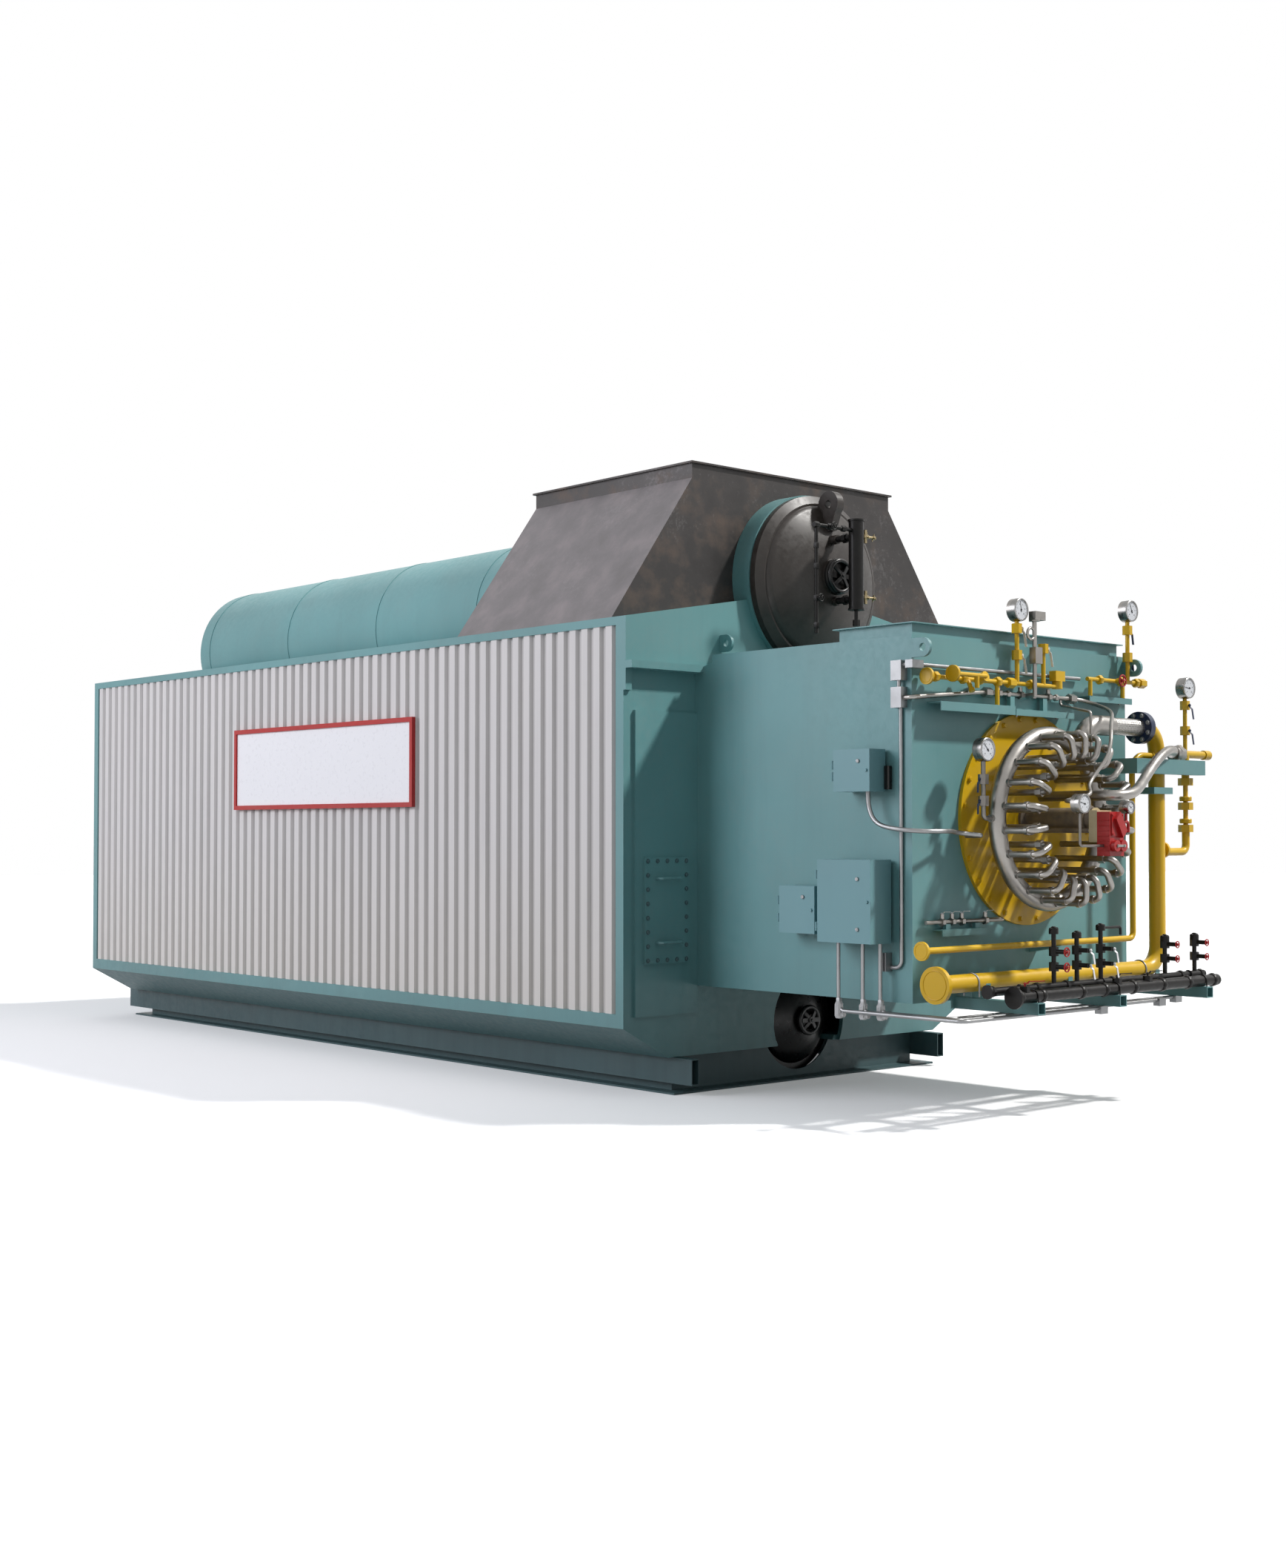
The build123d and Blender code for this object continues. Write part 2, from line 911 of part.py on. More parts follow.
ledge_top = ledge_bottom + ledge_height
ledge = block((windbox_side, casing_half_width), (-ledge_depth, 0), (ledge_bottom, ledge_top))
corner_bar = block(
    (casing_half_width - corner_bar_width, casing_half_width),
    (-raised_panel_thickness, 0),
    (corner_bar_bottom, eave_height),
)
save("front_ledges", *both_sides(joined(ledge, corner_bar)))

casing_lug = eye_plate(
    0, casing_lug_radius, casing_lug_z, casing_lug_radius,
    (casing_lug_x - lug_thickness / 2, casing_lug_x + lug_thickness / 2),
)
rear_lug = mirror(casing_lug, Plane.XZ.offset(-casing_length / 2))
save("casing_lugs", *both_sides(casing_lug), *both_sides(rear_lug))

# Sign on the left side
sign_back = -(crest_x + fit_gap)
sign_middle = ((sign_front + sign_rear) / 2, (sign_bottom + sign_top) / 2)
sign_opening = (sign_rear - sign_front - 2 * sign_frame_width, sign_top - sign_bottom - 2 * sign_frame_width)
with BuildPart() as sign_frame:
    with BuildSketch(Plane.YZ.offset(sign_back - sign_depth)):
        with Locations(sign_middle):
            Rectangle(sign_rear - sign_front, sign_top - sign_bottom)
            Rectangle(*sign_opening, mode=Mode.SUBTRACT)
    extrude(amount=sign_depth)
save("sign_frame", sign_frame.part)
with BuildPart() as sign_board:
    with BuildSketch(Plane.YZ.offset(sign_back - sign_board_thickness)):
        with Locations(sign_middle):
            Rectangle(sign_opening[0] - 2 * fit_gap, sign_opening[1] - 2 * fit_gap)
    extrude(amount=sign_board_thickness)
save("sign_board", sign_board.part)

# Steam drum
seam_bands = []
for index in range(seam_count):
    seam_y = seam_first + index * seam_pitch
    seam_bands.append(along_y(jacket_radius + seam_height, seam_y, seam_y + seam_width, z=drum_z))
jacket = joined(along_y(jacket_radius, jacket_front, jacket_rear, z=drum_z), *seam_bands)
bore = along_y(jacket_radius - jacket_thickness, jacket_front, jacket_rear, z=drum_z)
save("steam_drum_jacket", cut(jacket, bore))

head_crown = head_start - head_depth
band_points = [
    (head_radius - head_wall, jacket_front),
    (head_band_radius, jacket_front),
    (head_band_radius, jacket_front - head_band_length),
    (head_radius + band_lip, head_start),
    (head_radius - head_wall, head_start),
]
nozzle_face = head_crown - nozzle_reach
manway_z = drum_z + manway_z_offset
front_head = joined(
    turned(band_points, z=drum_z),
    dished_head(head_radius, head_wall, head_knuckle, head_start + head_wall, head_depth + head_wall, drum_z),
    along_y(manway_boss_radius, head_crown - manway_boss_height, head_crown + head_wall, z=manway_z),
    along_y(column_pipe_radius + nozzle_lip, nozzle_face, head_start, z=column_nozzle_top),
    along_y(column_pipe_radius + nozzle_lip, nozzle_face, head_crown + 2 * head_wall, z=column_nozzle_bottom),
)
with BuildPart() as head_lug:
    with BuildSketch(Plane.YZ.offset(-head_lug_thickness / 2)):
        with BuildLine():
            Polyline(
                (head_lug_hole_y - head_lug_radius, head_lug_hole_z),
                (head_lug_hole_y + head_lug_radius, head_lug_hole_z),
                (head_start, head_lug_hole_z - head_lug_radius),
                (head_start, head_lug_foot_z),
                (head_lug_hole_y - head_lug_radius / 4, head_lug_foot_z),
                close=True,
            )
        make_face()
        with Locations((head_lug_hole_y, head_lug_hole_z)):
            Circle(head_lug_radius)
            Circle(head_lug_hole_radius, mode=Mode.SUBTRACT)
    extrude(amount=head_lug_thickness)
save("steam_drum_front_head", joined(front_head, head_lug.part))

rear_head = dished_head(
    jacket_radius, head_wall, head_knuckle, jacket_rear, rear_head_depth, drum_z, forward=False
)
save("steam_drum_rear_head", rear_head)

manway_face = head_crown - manway_boss_height
manway_points = [
    (0, manway_face),
    (manway_ring_radius + manway_ring_tube, manway_face),
    (manway_ring_radius + manway_ring_tube, manway_face - manway_ring_tube),
    (manway_ring_radius, manway_face - 2 * manway_ring_tube),
    (manway_ring_radius - manway_ring_tube, manway_face - manway_ring_tube),
    (0, manway_face - manway_ring_tube),
]
yoke = block(
    (-manway_ring_radius, manway_ring_radius),
    (manway_face - 2.8 * manway_ring_tube, manway_face - 0.8 * manway_ring_tube),
    (manway_z - manway_ring_tube, manway_z + manway_ring_tube),
)
yoke_bolt = along_y(manway_ring_tube * 0.6, manway_face - 4 * manway_ring_tube, manway_face, z=manway_z)
save("drum_manway", joined(turned(manway_points, z=manway_z), yoke, yoke_bolt))

column_cap = column_radius + column_cap_lip
column_parts = [
    rod((0, column_y, column_bottom), (0, column_y, column_top), column_radius),
    rod((0, column_y, column_bottom), (0, column_y, column_bottom + column_cap_height), column_cap),
    rod((0, column_y, column_top - column_cap_height), (0, column_y, column_top), column_cap),
    rod((0, column_y, vent_drain_z), (0, column_y, column_bottom), vent_pipe_radius),
    hexagon(
        (0, column_y, vent_drain_z),
        (0, column_y, vent_drain_z + column_drain_height),
        2 * vent_pipe_radius,
    ),
]
for nozzle_z in (column_nozzle_top, column_nozzle_bottom):
    column_parts.append(along_y(column_pipe_radius, column_y, nozzle_face, z=nozzle_z))
    union_y = (column_y + column_radius + nozzle_face) / 2 - column_radius / 2
    column_parts.append(
        hexagon(
            (0, union_y + column_union_length, nozzle_z),
            (0, union_y, nozzle_z),
            column_pipe_radius + column_union_lip,
        )
    )
vent_path = [
    (0, column_y, vent_z),
    (vent_pipe_x, column_y, vent_z),
    (vent_pipe_x, column_y, vent_low_z),
]
column_parts.append(pipe(vent_path, vent_pipe_radius, 3 * vent_pipe_radius))
save("water_column", joined(*column_parts))

gauge_cocks = []
for cock_z in (gauge_cock_bottom, gauge_cock_top):
    cock_x = column_radius + fit_gap
    cock_end = cock_x + cock_length
    cock_stem_x = cock_x + (cock_body_start + cock_body_end) / 2
    gauge_cocks.append(
        joined(
            rod((cock_x, column_y, cock_z), (cock_end, column_y, cock_z), cock_rod_radius),
            hexagon(
                (cock_x + cock_body_start, column_y, cock_z),
                (cock_x + cock_body_end, column_y, cock_z),
                cock_body_radius,
            ),
            rod(
                (cock_stem_x, column_y, cock_z - cock_stem_half_height),
                (cock_stem_x, column_y, cock_z + cock_stem_half_height),
                cock_stem_radius,
            ),
            hexagon(
                (cock_end - cock_nut_length, column_y, cock_z), (cock_end, column_y, cock_z), cock_nut_radius
            ),
        )
    )
save("gauge_cocks", *gauge_cocks)

# Mud drum
mud_head_rear = 2 * base_middle - mud_head_start
mud_shell = cut(
    along_y(mud_drum_radius, mud_head_start, mud_head_rear, z=mud_drum_z),
    along_y(mud_drum_radius - mud_drum_wall, mud_head_start, mud_head_rear, z=mud_drum_z),
)
save("mud_drum_shell", mud_shell)
mud_crown = mud_head_start - mud_head_depth
mud_manway_points = [
    (0, mud_crown + mud_drum_wall),
    (mud_manway_radius, mud_crown + mud_drum_wall),
    (mud_manway_radius, mud_crown - mud_manway_rim),
    (mud_manway_radius * 0.8, mud_crown - mud_manway_crest),
    (mud_manway_radius * 0.6, mud_crown - mud_manway_dish),
    (0, mud_crown - mud_manway_dish),
]
mud_yoke = block(
    (-mud_manway_radius, mud_manway_radius),
    (mud_crown - mud_yoke_reach, mud_crown),
    (mud_drum_z - mud_manway_dish, mud_drum_z + mud_manway_dish),
)
mud_head = joined(
    dished_head(mud_drum_radius, mud_drum_wall, mud_head_knuckle, mud_head_start, mud_head_depth, mud_drum_z),
    turned(mud_manway_points, z=mud_drum_z),
    mud_yoke,
)
save("mud_drum_heads", *both_ends(mud_head))

# Flue hopper on the roof
foot_z = roof_z(hopper_foot_half_width)
hopper_lean = (hopper_foot_half_width - hopper_neck_half_width) / (hopper_shoulder - foot_z)
lean_plate = hopper_plate * sqrt(1 + hopper_lean**2)
neck_inner = hopper_neck_half_width - hopper_plate
foot_inner = hopper_foot_half_width - lean_plate
shoulder_inner = foot_z + (foot_inner - neck_inner) / hopper_lean
hopper_side_points = [
    (hopper_foot_half_width, foot_z),
    (hopper_neck_half_width, hopper_shoulder),
    (hopper_neck_half_width, hopper_top),
    (neck_inner, hopper_top),
    (neck_inner, shoulder_inner),
    (foot_inner, roof_z(foot_inner)),
]
hopper_side = cross_section(hopper_side_points, hopper_front + hopper_plate, hopper_rear - hopper_plate)
save("hopper_sides", *both_sides(hopper_side))
hopper_end_points = [
    (-hopper_foot_half_width, foot_z),
    (-hopper_neck_half_width, hopper_shoulder),
    (-hopper_neck_half_width, hopper_top),
    (hopper_neck_half_width, hopper_top),
    (hopper_neck_half_width, hopper_shoulder),
    (hopper_foot_half_width, foot_z),
    (0, roof_z(0)),
]
save(
    "hopper_ends",
    cut(cross_section(hopper_end_points, hopper_front, hopper_front + hopper_plate), jacket_hole),
    cut(cross_section(hopper_end_points, hopper_rear - hopper_plate, hopper_rear), jacket_hole),
)
flange_x = hopper_neck_half_width + stack_flange_overhang
stack_flange = frame_plate(
    (-flange_x, flange_x),
    (hopper_front - stack_flange_overhang, hopper_rear + stack_flange_overhang),
    (-neck_inner, neck_inner),
    (hopper_front + hopper_plate, hopper_rear - hopper_plate),
    (hopper_top, hopper_top + stack_flange_thickness),
)
save("stack_flange", stack_flange)

# Windbox
plate_half_width = windbox_half_width - windbox_plate
windbox_inner_front = windbox_front + windbox_plate
windbox_side_points = [
    (windbox_front, windbox_bottom),
    (0, windbox_bottom),
    (0, windbox_notch_bottom),
    (-windbox_notch_depth, windbox_notch_top),
    (-windbox_notch_depth, windbox_top),
    (windbox_front, windbox_top),
]
save("windbox_sides", *both_sides(side_section(windbox_side_points, plate_half_width, windbox_half_width)))
front_plate = block(
    (-plate_half_width, plate_half_width), (windbox_front, windbox_inner_front), (windbox_bottom, windbox_top)
)
throat = along_y(throat_radius, windbox_front, windbox_inner_front, z=burner_z)
save("windbox_front", cut(front_plate, throat))
windbox_floor = block(
    (-plate_half_width, plate_half_width),
    (windbox_inner_front, 0),
    (windbox_bottom, windbox_bottom + windbox_plate),
)
save("windbox_floor", windbox_floor)
inlet_inner = inlet_half_width - windbox_plate
inlet_opening = ((-inlet_inner, inlet_inner), (inlet_front + windbox_plate, inlet_rear - windbox_plate))
top_plate = frame_plate(
    (-plate_half_width, plate_half_width),
    (windbox_inner_front, -windbox_notch_depth),
    *inlet_opening,
    (windbox_top - windbox_plate, windbox_top),
)
notch_inner = -windbox_notch_depth - windbox_plate
notch_points = [
    (-windbox_notch_depth, windbox_top),
    (-windbox_notch_depth, windbox_notch_top),
    (0, windbox_notch_bottom),
    (0, windbox_notch_bottom - windbox_plate),
    (notch_inner, windbox_notch_top - windbox_plate),
    (notch_inner, windbox_top),
]
notch_plate = side_section(notch_points, -plate_half_width, plate_half_width)
save("windbox_top", joined(top_plate, notch_plate))
collar_top = windbox_top + inlet_collar_height
collar = frame_plate(
    (-inlet_half_width, inlet_half_width),
    (inlet_front, inlet_rear),
    *inlet_opening,
    (windbox_top, collar_top),
)
inlet_edge = inlet_half_width + inlet_flange_overhang
collar_flange = frame_plate(
    (-inlet_edge, inlet_edge),
    (inlet_front - inlet_flange_overhang, inlet_rear + inlet_flange_overhang),
    *inlet_opening,
    (collar_top, collar_top + inlet_flange_thickness),
)
save("air_inlet_collar", joined(collar, collar_flange))
windbox_lug_radius = (windbox_lug_high - windbox_lug_low) / 2
windbox_lug = eye_plate(
    windbox_front,
    windbox_lug_reach - windbox_lug_radius,
    windbox_lug_low + windbox_lug_radius,
    windbox_lug_radius,
    (windbox_half_width - lug_thickness, windbox_half_width),
)
save("windbox_lugs", *both_sides(windbox_lug))

# Burner plate, gas ring and gas spuds
save("burner_plate", along_y(burner_plate_radius, plate_front, windbox_front, z=burner_z))


def half_ring(side):
    """Upper half of the gas ring for side 1, lower half for side -1."""
    with BuildPart() as half:
        with BuildSketch(Plane((0, ring_y, burner_z), x_dir=(side, 0, 0), z_dir=(0, 0, side))):
            with Locations((ring_radius, 0)):
                Circle(ring_tube_radius)
        revolve(axis=Axis((0, ring_y, burner_z), (0, -1, 0)), revolution_arc=180)
    return half.part


boss_face = ring_y - ring_tube_radius - spud_boss_height
spud_bosses = []
spuds = []
for index in range(spud_count):
    angle = 2 * pi * (index + 0.5) / spud_count
    reach_x = cos(angle)
    reach_z = sin(angle)
    outer_x = ring_radius * reach_x
    outer_z = burner_z + ring_radius * reach_z
    inner_x = spud_inner_radius * reach_x
    inner_z = burner_z + spud_inner_radius * reach_z
    spud_bosses.append(along_y(spud_boss_radius, boss_face, ring_y, outer_x, outer_z))
    bend_path = [
        (outer_x, boss_face, outer_z),
        (outer_x, spud_y, outer_z),
        (inner_x, spud_y, inner_z),
        (inner_x, plate_front, inner_z),
    ]
    bend_end = spud_y + spud_bend
    collar_rear = bend_end + spud_collar_length
    union_front = collar_rear + spud_union_length
    union = hexagon(
        (inner_x, union_front, inner_z), (inner_x, collar_rear, inner_z), spud_union_radius
    )
    collar = along_y(spud_collar_radius, bend_end, collar_rear, outer_x, outer_z)
    spuds.append(joined(pipe(bend_path, spud_tube_radius, spud_bend), union, collar))
inlet_angle = 2 * pi * inlet_spud_place / spud_count
inlet_elbow_x = ring_radius * cos(inlet_angle)
inlet_top_z = burner_z + ring_radius * sin(inlet_angle)
inlet_path = [
    (joint_end_x, ring_y, gas_inlet_z),
    (inlet_elbow_x, ring_y, gas_inlet_z),
    (inlet_elbow_x, ring_y, inlet_top_z),
]
inlet_elbow = pipe(inlet_path, inlet_elbow_radius, inlet_elbow_bend)
gauge_boss_face = -ring_radius - ring_tube_radius - gauge_boss_height
gauge_boss = rod((-ring_radius, ring_y, burner_z), (gauge_boss_face, ring_y, burner_z), gauge_boss_radius)
upper_half = joined(half_ring(1), *spud_bosses[: spud_count // 2], inlet_elbow)
lower_half = joined(half_ring(-1), *spud_bosses[spud_count // 2 :])
save("gas_ring", joined(upper_half, lower_half, gauge_boss))
save("gas_spuds", *spuds)

# Burner gun with its block, and the red actuator in front of it
gun_front = plate_front - gun_length
gun_block_front = gun_front - gun_block_depth
gun = joined(
    along_y(gun_tube_radius, gun_front, plate_front, z=burner_z),
    along_y(gun_flange_radius, plate_front - gun_flange_thickness, plate_front, z=burner_z),
    along_y(gun_ring_radius, gun_front + gun_ring_setback, gun_front + 2 * gun_ring_setback, z=burner_z),
    block(
        (-gun_block_half_width, gun_block_half_width),
        (gun_block_front, gun_front),
        (gun_block_bottom, gun_block_top),
    ),
    along_y(igniter_radius, gun_front, plate_front, -gun_block_half_width + igniter_radius, igniter_z),
)
save("burner_gun", gun)

actuator_front = gun_block_front - actuator_depth
lever_front = actuator_front - actuator_lever_depth
actuator_points = [
    (-gun_block_half_width, actuator_bottom),
    (-gun_block_half_width, actuator_top),
    (actuator_right - actuator_chamfer, actuator_top),
    (actuator_right, actuator_top - actuator_chamfer),
    (actuator_right, actuator_bottom),
]
lever_points = [
    (-actuator_lever_width, actuator_top - actuator_lever_width),
    (0, actuator_top),
    (actuator_right, igniter_z),
    (actuator_right - actuator_lever_width, igniter_z - actuator_lever_width),
]
drum_centre_z = actuator_bottom + actuator_drum_radius + actuator_lever_depth
handle_y = (actuator_front + gun_block_front) / 2
handle_end = actuator_right + actuator_handle_length
handle_path = [
    (actuator_right, handle_y, actuator_handle_z),
    (handle_end, handle_y, actuator_handle_z),
    (handle_end, handle_y, actuator_handle_z - actuator_handle_turn),
]
actuator = joined(
    cross_section(actuator_points, actuator_front, gun_block_front),
    cross_section(lever_points, lever_front, actuator_front),
    along_y(actuator_drum_radius, lever_front, actuator_front, -actuator_drum_radius, drum_centre_z),
    along_y(actuator_drum_radius, lever_front, actuator_front, actuator_right / 2, drum_centre_z),
    pipe(handle_path, actuator_handle_radius, 2 * actuator_handle_radius),
    rod(
        (small_gauge_x, handle_y, actuator_handle_z),
        (small_gauge_x, handle_y, small_gauge_z - small_gauge_radius),
        stem_radius,
    ),
)
save("burner_actuator", actuator)

# Flanged joint and main gas pipe, all in the plane of the gas ring
save("braided_joint", cross_bar(joint_end_x, joint_flange_x, ring_y, gas_inlet_z, joint_radius))
flange_mid = joint_flange_x + joint_flange_thickness
flange_end = flange_mid + joint_flange_thickness
joint_flanges = joined(
    cross_bar(joint_flange_x, flange_mid, ring_y, gas_inlet_z, joint_flange_radius),
    cross_bar(flange_mid, flange_end, ring_y, gas_inlet_z, joint_flange_radius),
)
save("joint_flanges", joint_flanges)
main_path = [
    (flange_end, ring_y, gas_inlet_z),
    (gas_riser_x, ring_y, gas_inlet_z),
    (gas_riser_x, ring_y, gas_pipe_z),
    (gas_pipe_left, ring_y, gas_pipe_z),
]
pilot_face = gas_riser_x - gas_pipe_radius - branch_stub
branch_face = gas_riser_x + gas_pipe_radius + branch_stub
main_gas = joined(
    pipe(main_path, gas_pipe_radius, gas_bend),
    cross_bar(gas_pipe_left - blind_disc_thickness, gas_pipe_left, ring_y, gas_pipe_z, blind_disc_radius),
    cross_bar(pilot_face, gas_riser_x, ring_y, pilot_top, pilot_radius + branch_lip),
    cross_bar(gas_riser_x, branch_face, ring_y, far_riser_low, far_pipe_radius + branch_lip),
)
save("main_gas_pipe", main_gas)
pilot_middle = (pilot_riser_x, ring_y, (pilot_top + pilot_z) / 2)
pilot_upper = pipe(
    [(pilot_face, ring_y, pilot_top), (pilot_riser_x, ring_y, pilot_top), pilot_middle],
    pilot_radius,
    pilot_top_bend,
)
pilot_lower = pipe(
    [pilot_middle, (pilot_riser_x, ring_y, pilot_z), (pilot_left, ring_y, pilot_z)], pilot_radius, pilot_bend
)
pilot_disc = cross_bar(pilot_left - pilot_disc_thickness, pilot_left, ring_y, pilot_z, pilot_disc_radius)
save("pilot_gas_pipe", joined(pilot_upper, pilot_lower, pilot_disc))


# Right riser with its unions, tee and hose
far_path = [
    (branch_face, ring_y, far_riser_low),
    (far_riser_x, ring_y, far_riser_low),
    (far_riser_x, ring_y, far_unions[0]),
]
hose_face = far_riser_x - 2 * far_pipe_radius
far_parts = [
    pipe(far_path, far_pipe_radius, 2 * far_pipe_radius),
    upright(far_riser_x, ring_y, far_unions[0], far_unions[-1], far_neck_radius),
    upright(far_riser_x, ring_y, far_unions[-1], hose_union_z, far_pipe_radius),
    upright(far_riser_x, ring_y, hose_union_z, far_riser_top, train_pipe_radius),
    cross_bar(hose_face, far_riser_x + far_stub_length, ring_y, hose_union_z, far_pipe_radius),
    cross_bar(
        far_riser_x + far_stub_length - far_cap_length,
        far_riser_x + far_stub_length,
        ring_y, hose_union_z, far_pipe_radius + branch_lip,
    ),
]
for union_z in far_unions:
    far_parts.append(valve(far_riser_x, ring_y, union_z, far_union_radius, far_union_height))
for valve_z in far_valves:
    far_parts.append(valve(far_riser_x, ring_y, valve_z, train_valve_radius, train_valve_height))
save("right_gas_riser", joined(*far_parts))


hose_nut_face = hose_face - hose_nut_length
hose_end = (hose_entry_x, spud_y, hose_low_z)
hose_points = [(hose_nut_face, ring_y, hose_union_z), *hose_route, hose_end]
burner_hose = joined(
    hexagon((hose_face, ring_y, hose_union_z), (hose_nut_face, ring_y, hose_union_z), hose_nut_radius),
    hose(hose_points, hose_radius, (-1, 0, 0), (0, 1, 0)),
    along_y(hose_radius, spud_y, plate_front, hose_entry_x, hose_low_z),
)
save("burner_hose", burner_hose)


# Upper gas train, standing on shelves on the windbox front
def shelf(x_left, x_right, y_front, z, lip):
    """Angle with its flat leg welded to the windbox front and its lip hanging at the front."""
    return joined(
        block((x_left, x_right), (y_front, windbox_front), (z, z + shelf_plate)),
        block((x_left, x_right), (y_front, y_front + shelf_plate), (z - lip, z)),
    )


left_train = joined(
    cross_bar(train_left, solenoid_x, train_y, train_z, train_pipe_radius),
    cross_bar(train_left - train_disc_thickness, train_left, train_y, train_z, train_disc_radius),
    cross_bar(second_disc_x, second_pipe_end, second_pipe_y, second_pipe_z, train_pipe_radius),
    cross_bar(
        second_disc_x - train_disc_thickness, second_disc_x, second_pipe_y, second_pipe_z, train_disc_radius
    ),
    rod(
        (second_pipe_end, second_pipe_y, second_pipe_z),
        (second_pipe_end, train_y, train_z),
        train_valve_radius,
    ),
    upright(drip_leg_x, second_pipe_y, second_pipe_z - drip_leg_length, second_pipe_z, train_pipe_radius),
    cross_nut(train_union_x, train_union_x + train_valve_height, train_y, train_z, train_valve_radius),
    upright(train_riser_x, train_y, train_z, upper_gauge_z - gauge_radius, train_pipe_radius),
    upright(short_riser_x, train_y, train_z, short_riser_top, train_pipe_radius),
    valve(
        short_riser_x, train_y, short_riser_top - train_valve_height / 2, train_valve_radius, train_valve_height
    ),
    upright(solenoid_x, train_y, train_z - train_pipe_radius, solenoid_bottom, train_valve_radius),
    block(
        (solenoid_x - solenoid_half_width, solenoid_x + solenoid_half_width),
        (train_y - solenoid_half_depth, train_y + solenoid_half_depth),
        (solenoid_bottom, solenoid_bottom + solenoid_height),
    ),
    upright(left_post_x, train_y, left_shelf_z + shelf_plate, train_z, train_pipe_radius),
    *[valve(train_riser_x, train_y, z, train_valve_radius, train_valve_height) for z in left_valves],
)
loop_ends = (right_train_left + right_loop_inset, right_train_left + right_loop_inset + right_loop_length)
right_train = joined(
    cross_bar(right_train_left, right_train_right, train_y, right_train_z, train_pipe_radius),
    cross_nut(
        right_train_right - train_valve_height, right_train_right, train_y, right_train_z, train_valve_radius
    ),
    upright(right_riser_x, train_y, right_train_z, right_gauge_z - gauge_radius, train_pipe_radius),
    cross_bar(*loop_ends, right_loop_y, right_loop_z, right_loop_radius),
    *[
        rod((x, right_loop_y, right_loop_z), (x, train_y, right_train_z), train_pipe_radius)
        for x in loop_ends
    ],
    along_y(train_pipe_radius, right_loop_y, train_y, right_stem_x, right_train_z),
    *[valve(right_riser_x, train_y, z, train_valve_radius, train_valve_height) for z in right_valves],
    *[
        upright(x, train_y, right_shelf_z + shelf_plate, right_train_z, train_pipe_radius)
        for x in (right_train_left + train_valve_radius, right_riser_x - train_valve_height)
    ],
)
save("upper_gas_train", left_train, right_train)


def gauge(x, y, z, radius=gauge_radius):
    """Pressure gauge with its face to the front, standing on its stem."""
    return joined(
        along_y(radius, y - gauge_depth / 2, y + gauge_depth / 2, x, z),
        along_y(radius - gauge_bezel, y - gauge_depth / 2 - gauge_glass, y, x, z),
    )


ring_gauge_path = [
    (gauge_boss_face, ring_y, burner_z),
    (ring_gauge_x, ring_y, burner_z),
    (ring_gauge_x, ring_y, ring_gauge_z - gauge_radius),
]
ring_gauge_pipe = joined(
    pipe(ring_gauge_path, train_pipe_radius, 2 * train_pipe_radius),
    *[valve(ring_gauge_x, ring_y, z, train_valve_radius, train_valve_height) for z in ring_gauge_valves],
)
gun_gauge_path = [
    (-gun_block_half_width, handle_y, drum_centre_z),
    (gun_gauge_x, handle_y, drum_centre_z),
    (gun_gauge_x, handle_y, gun_gauge_z - gun_gauge_radius),
]
save("gauge_pipes", ring_gauge_pipe, pipe(gun_gauge_path, stem_radius, 2 * stem_radius))
gauges = [
    gauge(train_riser_x, train_y, upper_gauge_z + fit_gap),
    gauge(right_riser_x, train_y, right_gauge_z + fit_gap),
    gauge(far_riser_x, ring_y, far_riser_top + gauge_radius + fit_gap),
    gauge(ring_gauge_x, ring_y, ring_gauge_z + fit_gap),
    gauge(gun_gauge_x, handle_y, gun_gauge_z + fit_gap, gun_gauge_radius),
    gauge(small_gauge_x, handle_y, small_gauge_z + fit_gap, small_gauge_radius),
]
save("pressure_gauges", *gauges)

# Drain header on its brackets
bracket_bottom = bracket_top - bracket_size
small_header_z = bracket_top + small_header_rise
large_header_z = bracket_top + header_radius + fit_gap
brackets = []
for bracket_x in bracket_places:
    arm = section_tube(
        (bracket_x - bracket_size / 2, bracket_x + bracket_size / 2),
        (bracket_bottom, bracket_top),
        bracket_wall,
        bracket_front,
        windbox_front - base_plate,
    )
    foot = block(
        (bracket_x - bracket_plate_half_width, bracket_x + bracket_plate_half_width),
        (windbox_front - base_plate, windbox_front),
        (bracket_bottom, bracket_bottom + bracket_plate_height),
    )
    saddle_ends = (bracket_x - saddle_half_width, bracket_x + saddle_half_width)
    gas_saddle = cut(
        block(saddle_ends, (ring_y - gas_pipe_radius, ring_y + gas_pipe_radius), (bracket_top, gas_pipe_z)),
        cross_bar(*saddle_ends, ring_y, gas_pipe_z, gas_pipe_radius + fit_gap),
    )
    header_saddle = block(
        saddle_ends,
        (small_header_y - saddle_half_width, small_header_y + saddle_half_width),
        (bracket_top, small_header_z - small_header_radius - fit_gap),
    )
    brackets.append(joined(arm, foot, gas_saddle, header_saddle))
save("header_brackets", *brackets)

large_header = joined(
    cross_bar(header_left, header_right, header_y, large_header_z, header_radius),
    cross_bar(header_left - header_disc_thickness, header_left, header_y, large_header_z, header_disc_radius),
    *[
        valve(x, header_y, large_header_z + header_radius, drain_valve_radius, drain_valve_height)
        for x in header_valves
    ],
)
small_parts = [
    cross_bar(small_header_left, header_right, small_header_y, small_header_z, small_header_radius),
    cross_bar(
        small_header_left - header_disc_thickness, small_header_left,
        small_header_y, small_header_z, small_disc_radius,
    ),
]
for riser_x, riser_top in drain_risers:
    small_parts.append(upright(riser_x, small_header_y, small_header_z, riser_top, drain_riser_radius))
    small_parts.append(
        upright(riser_x, small_header_y, riser_top - drain_cap_height, riser_top, drain_valve_radius)
    )
    for valve_z in drain_valves:
        small_parts.append(valve(riser_x, small_header_y, valve_z, drain_valve_radius, drain_valve_height))
        small_parts.append(
            along_y(drain_riser_radius, small_header_y - drain_bonnet, small_header_y, riser_x, valve_z)
        )
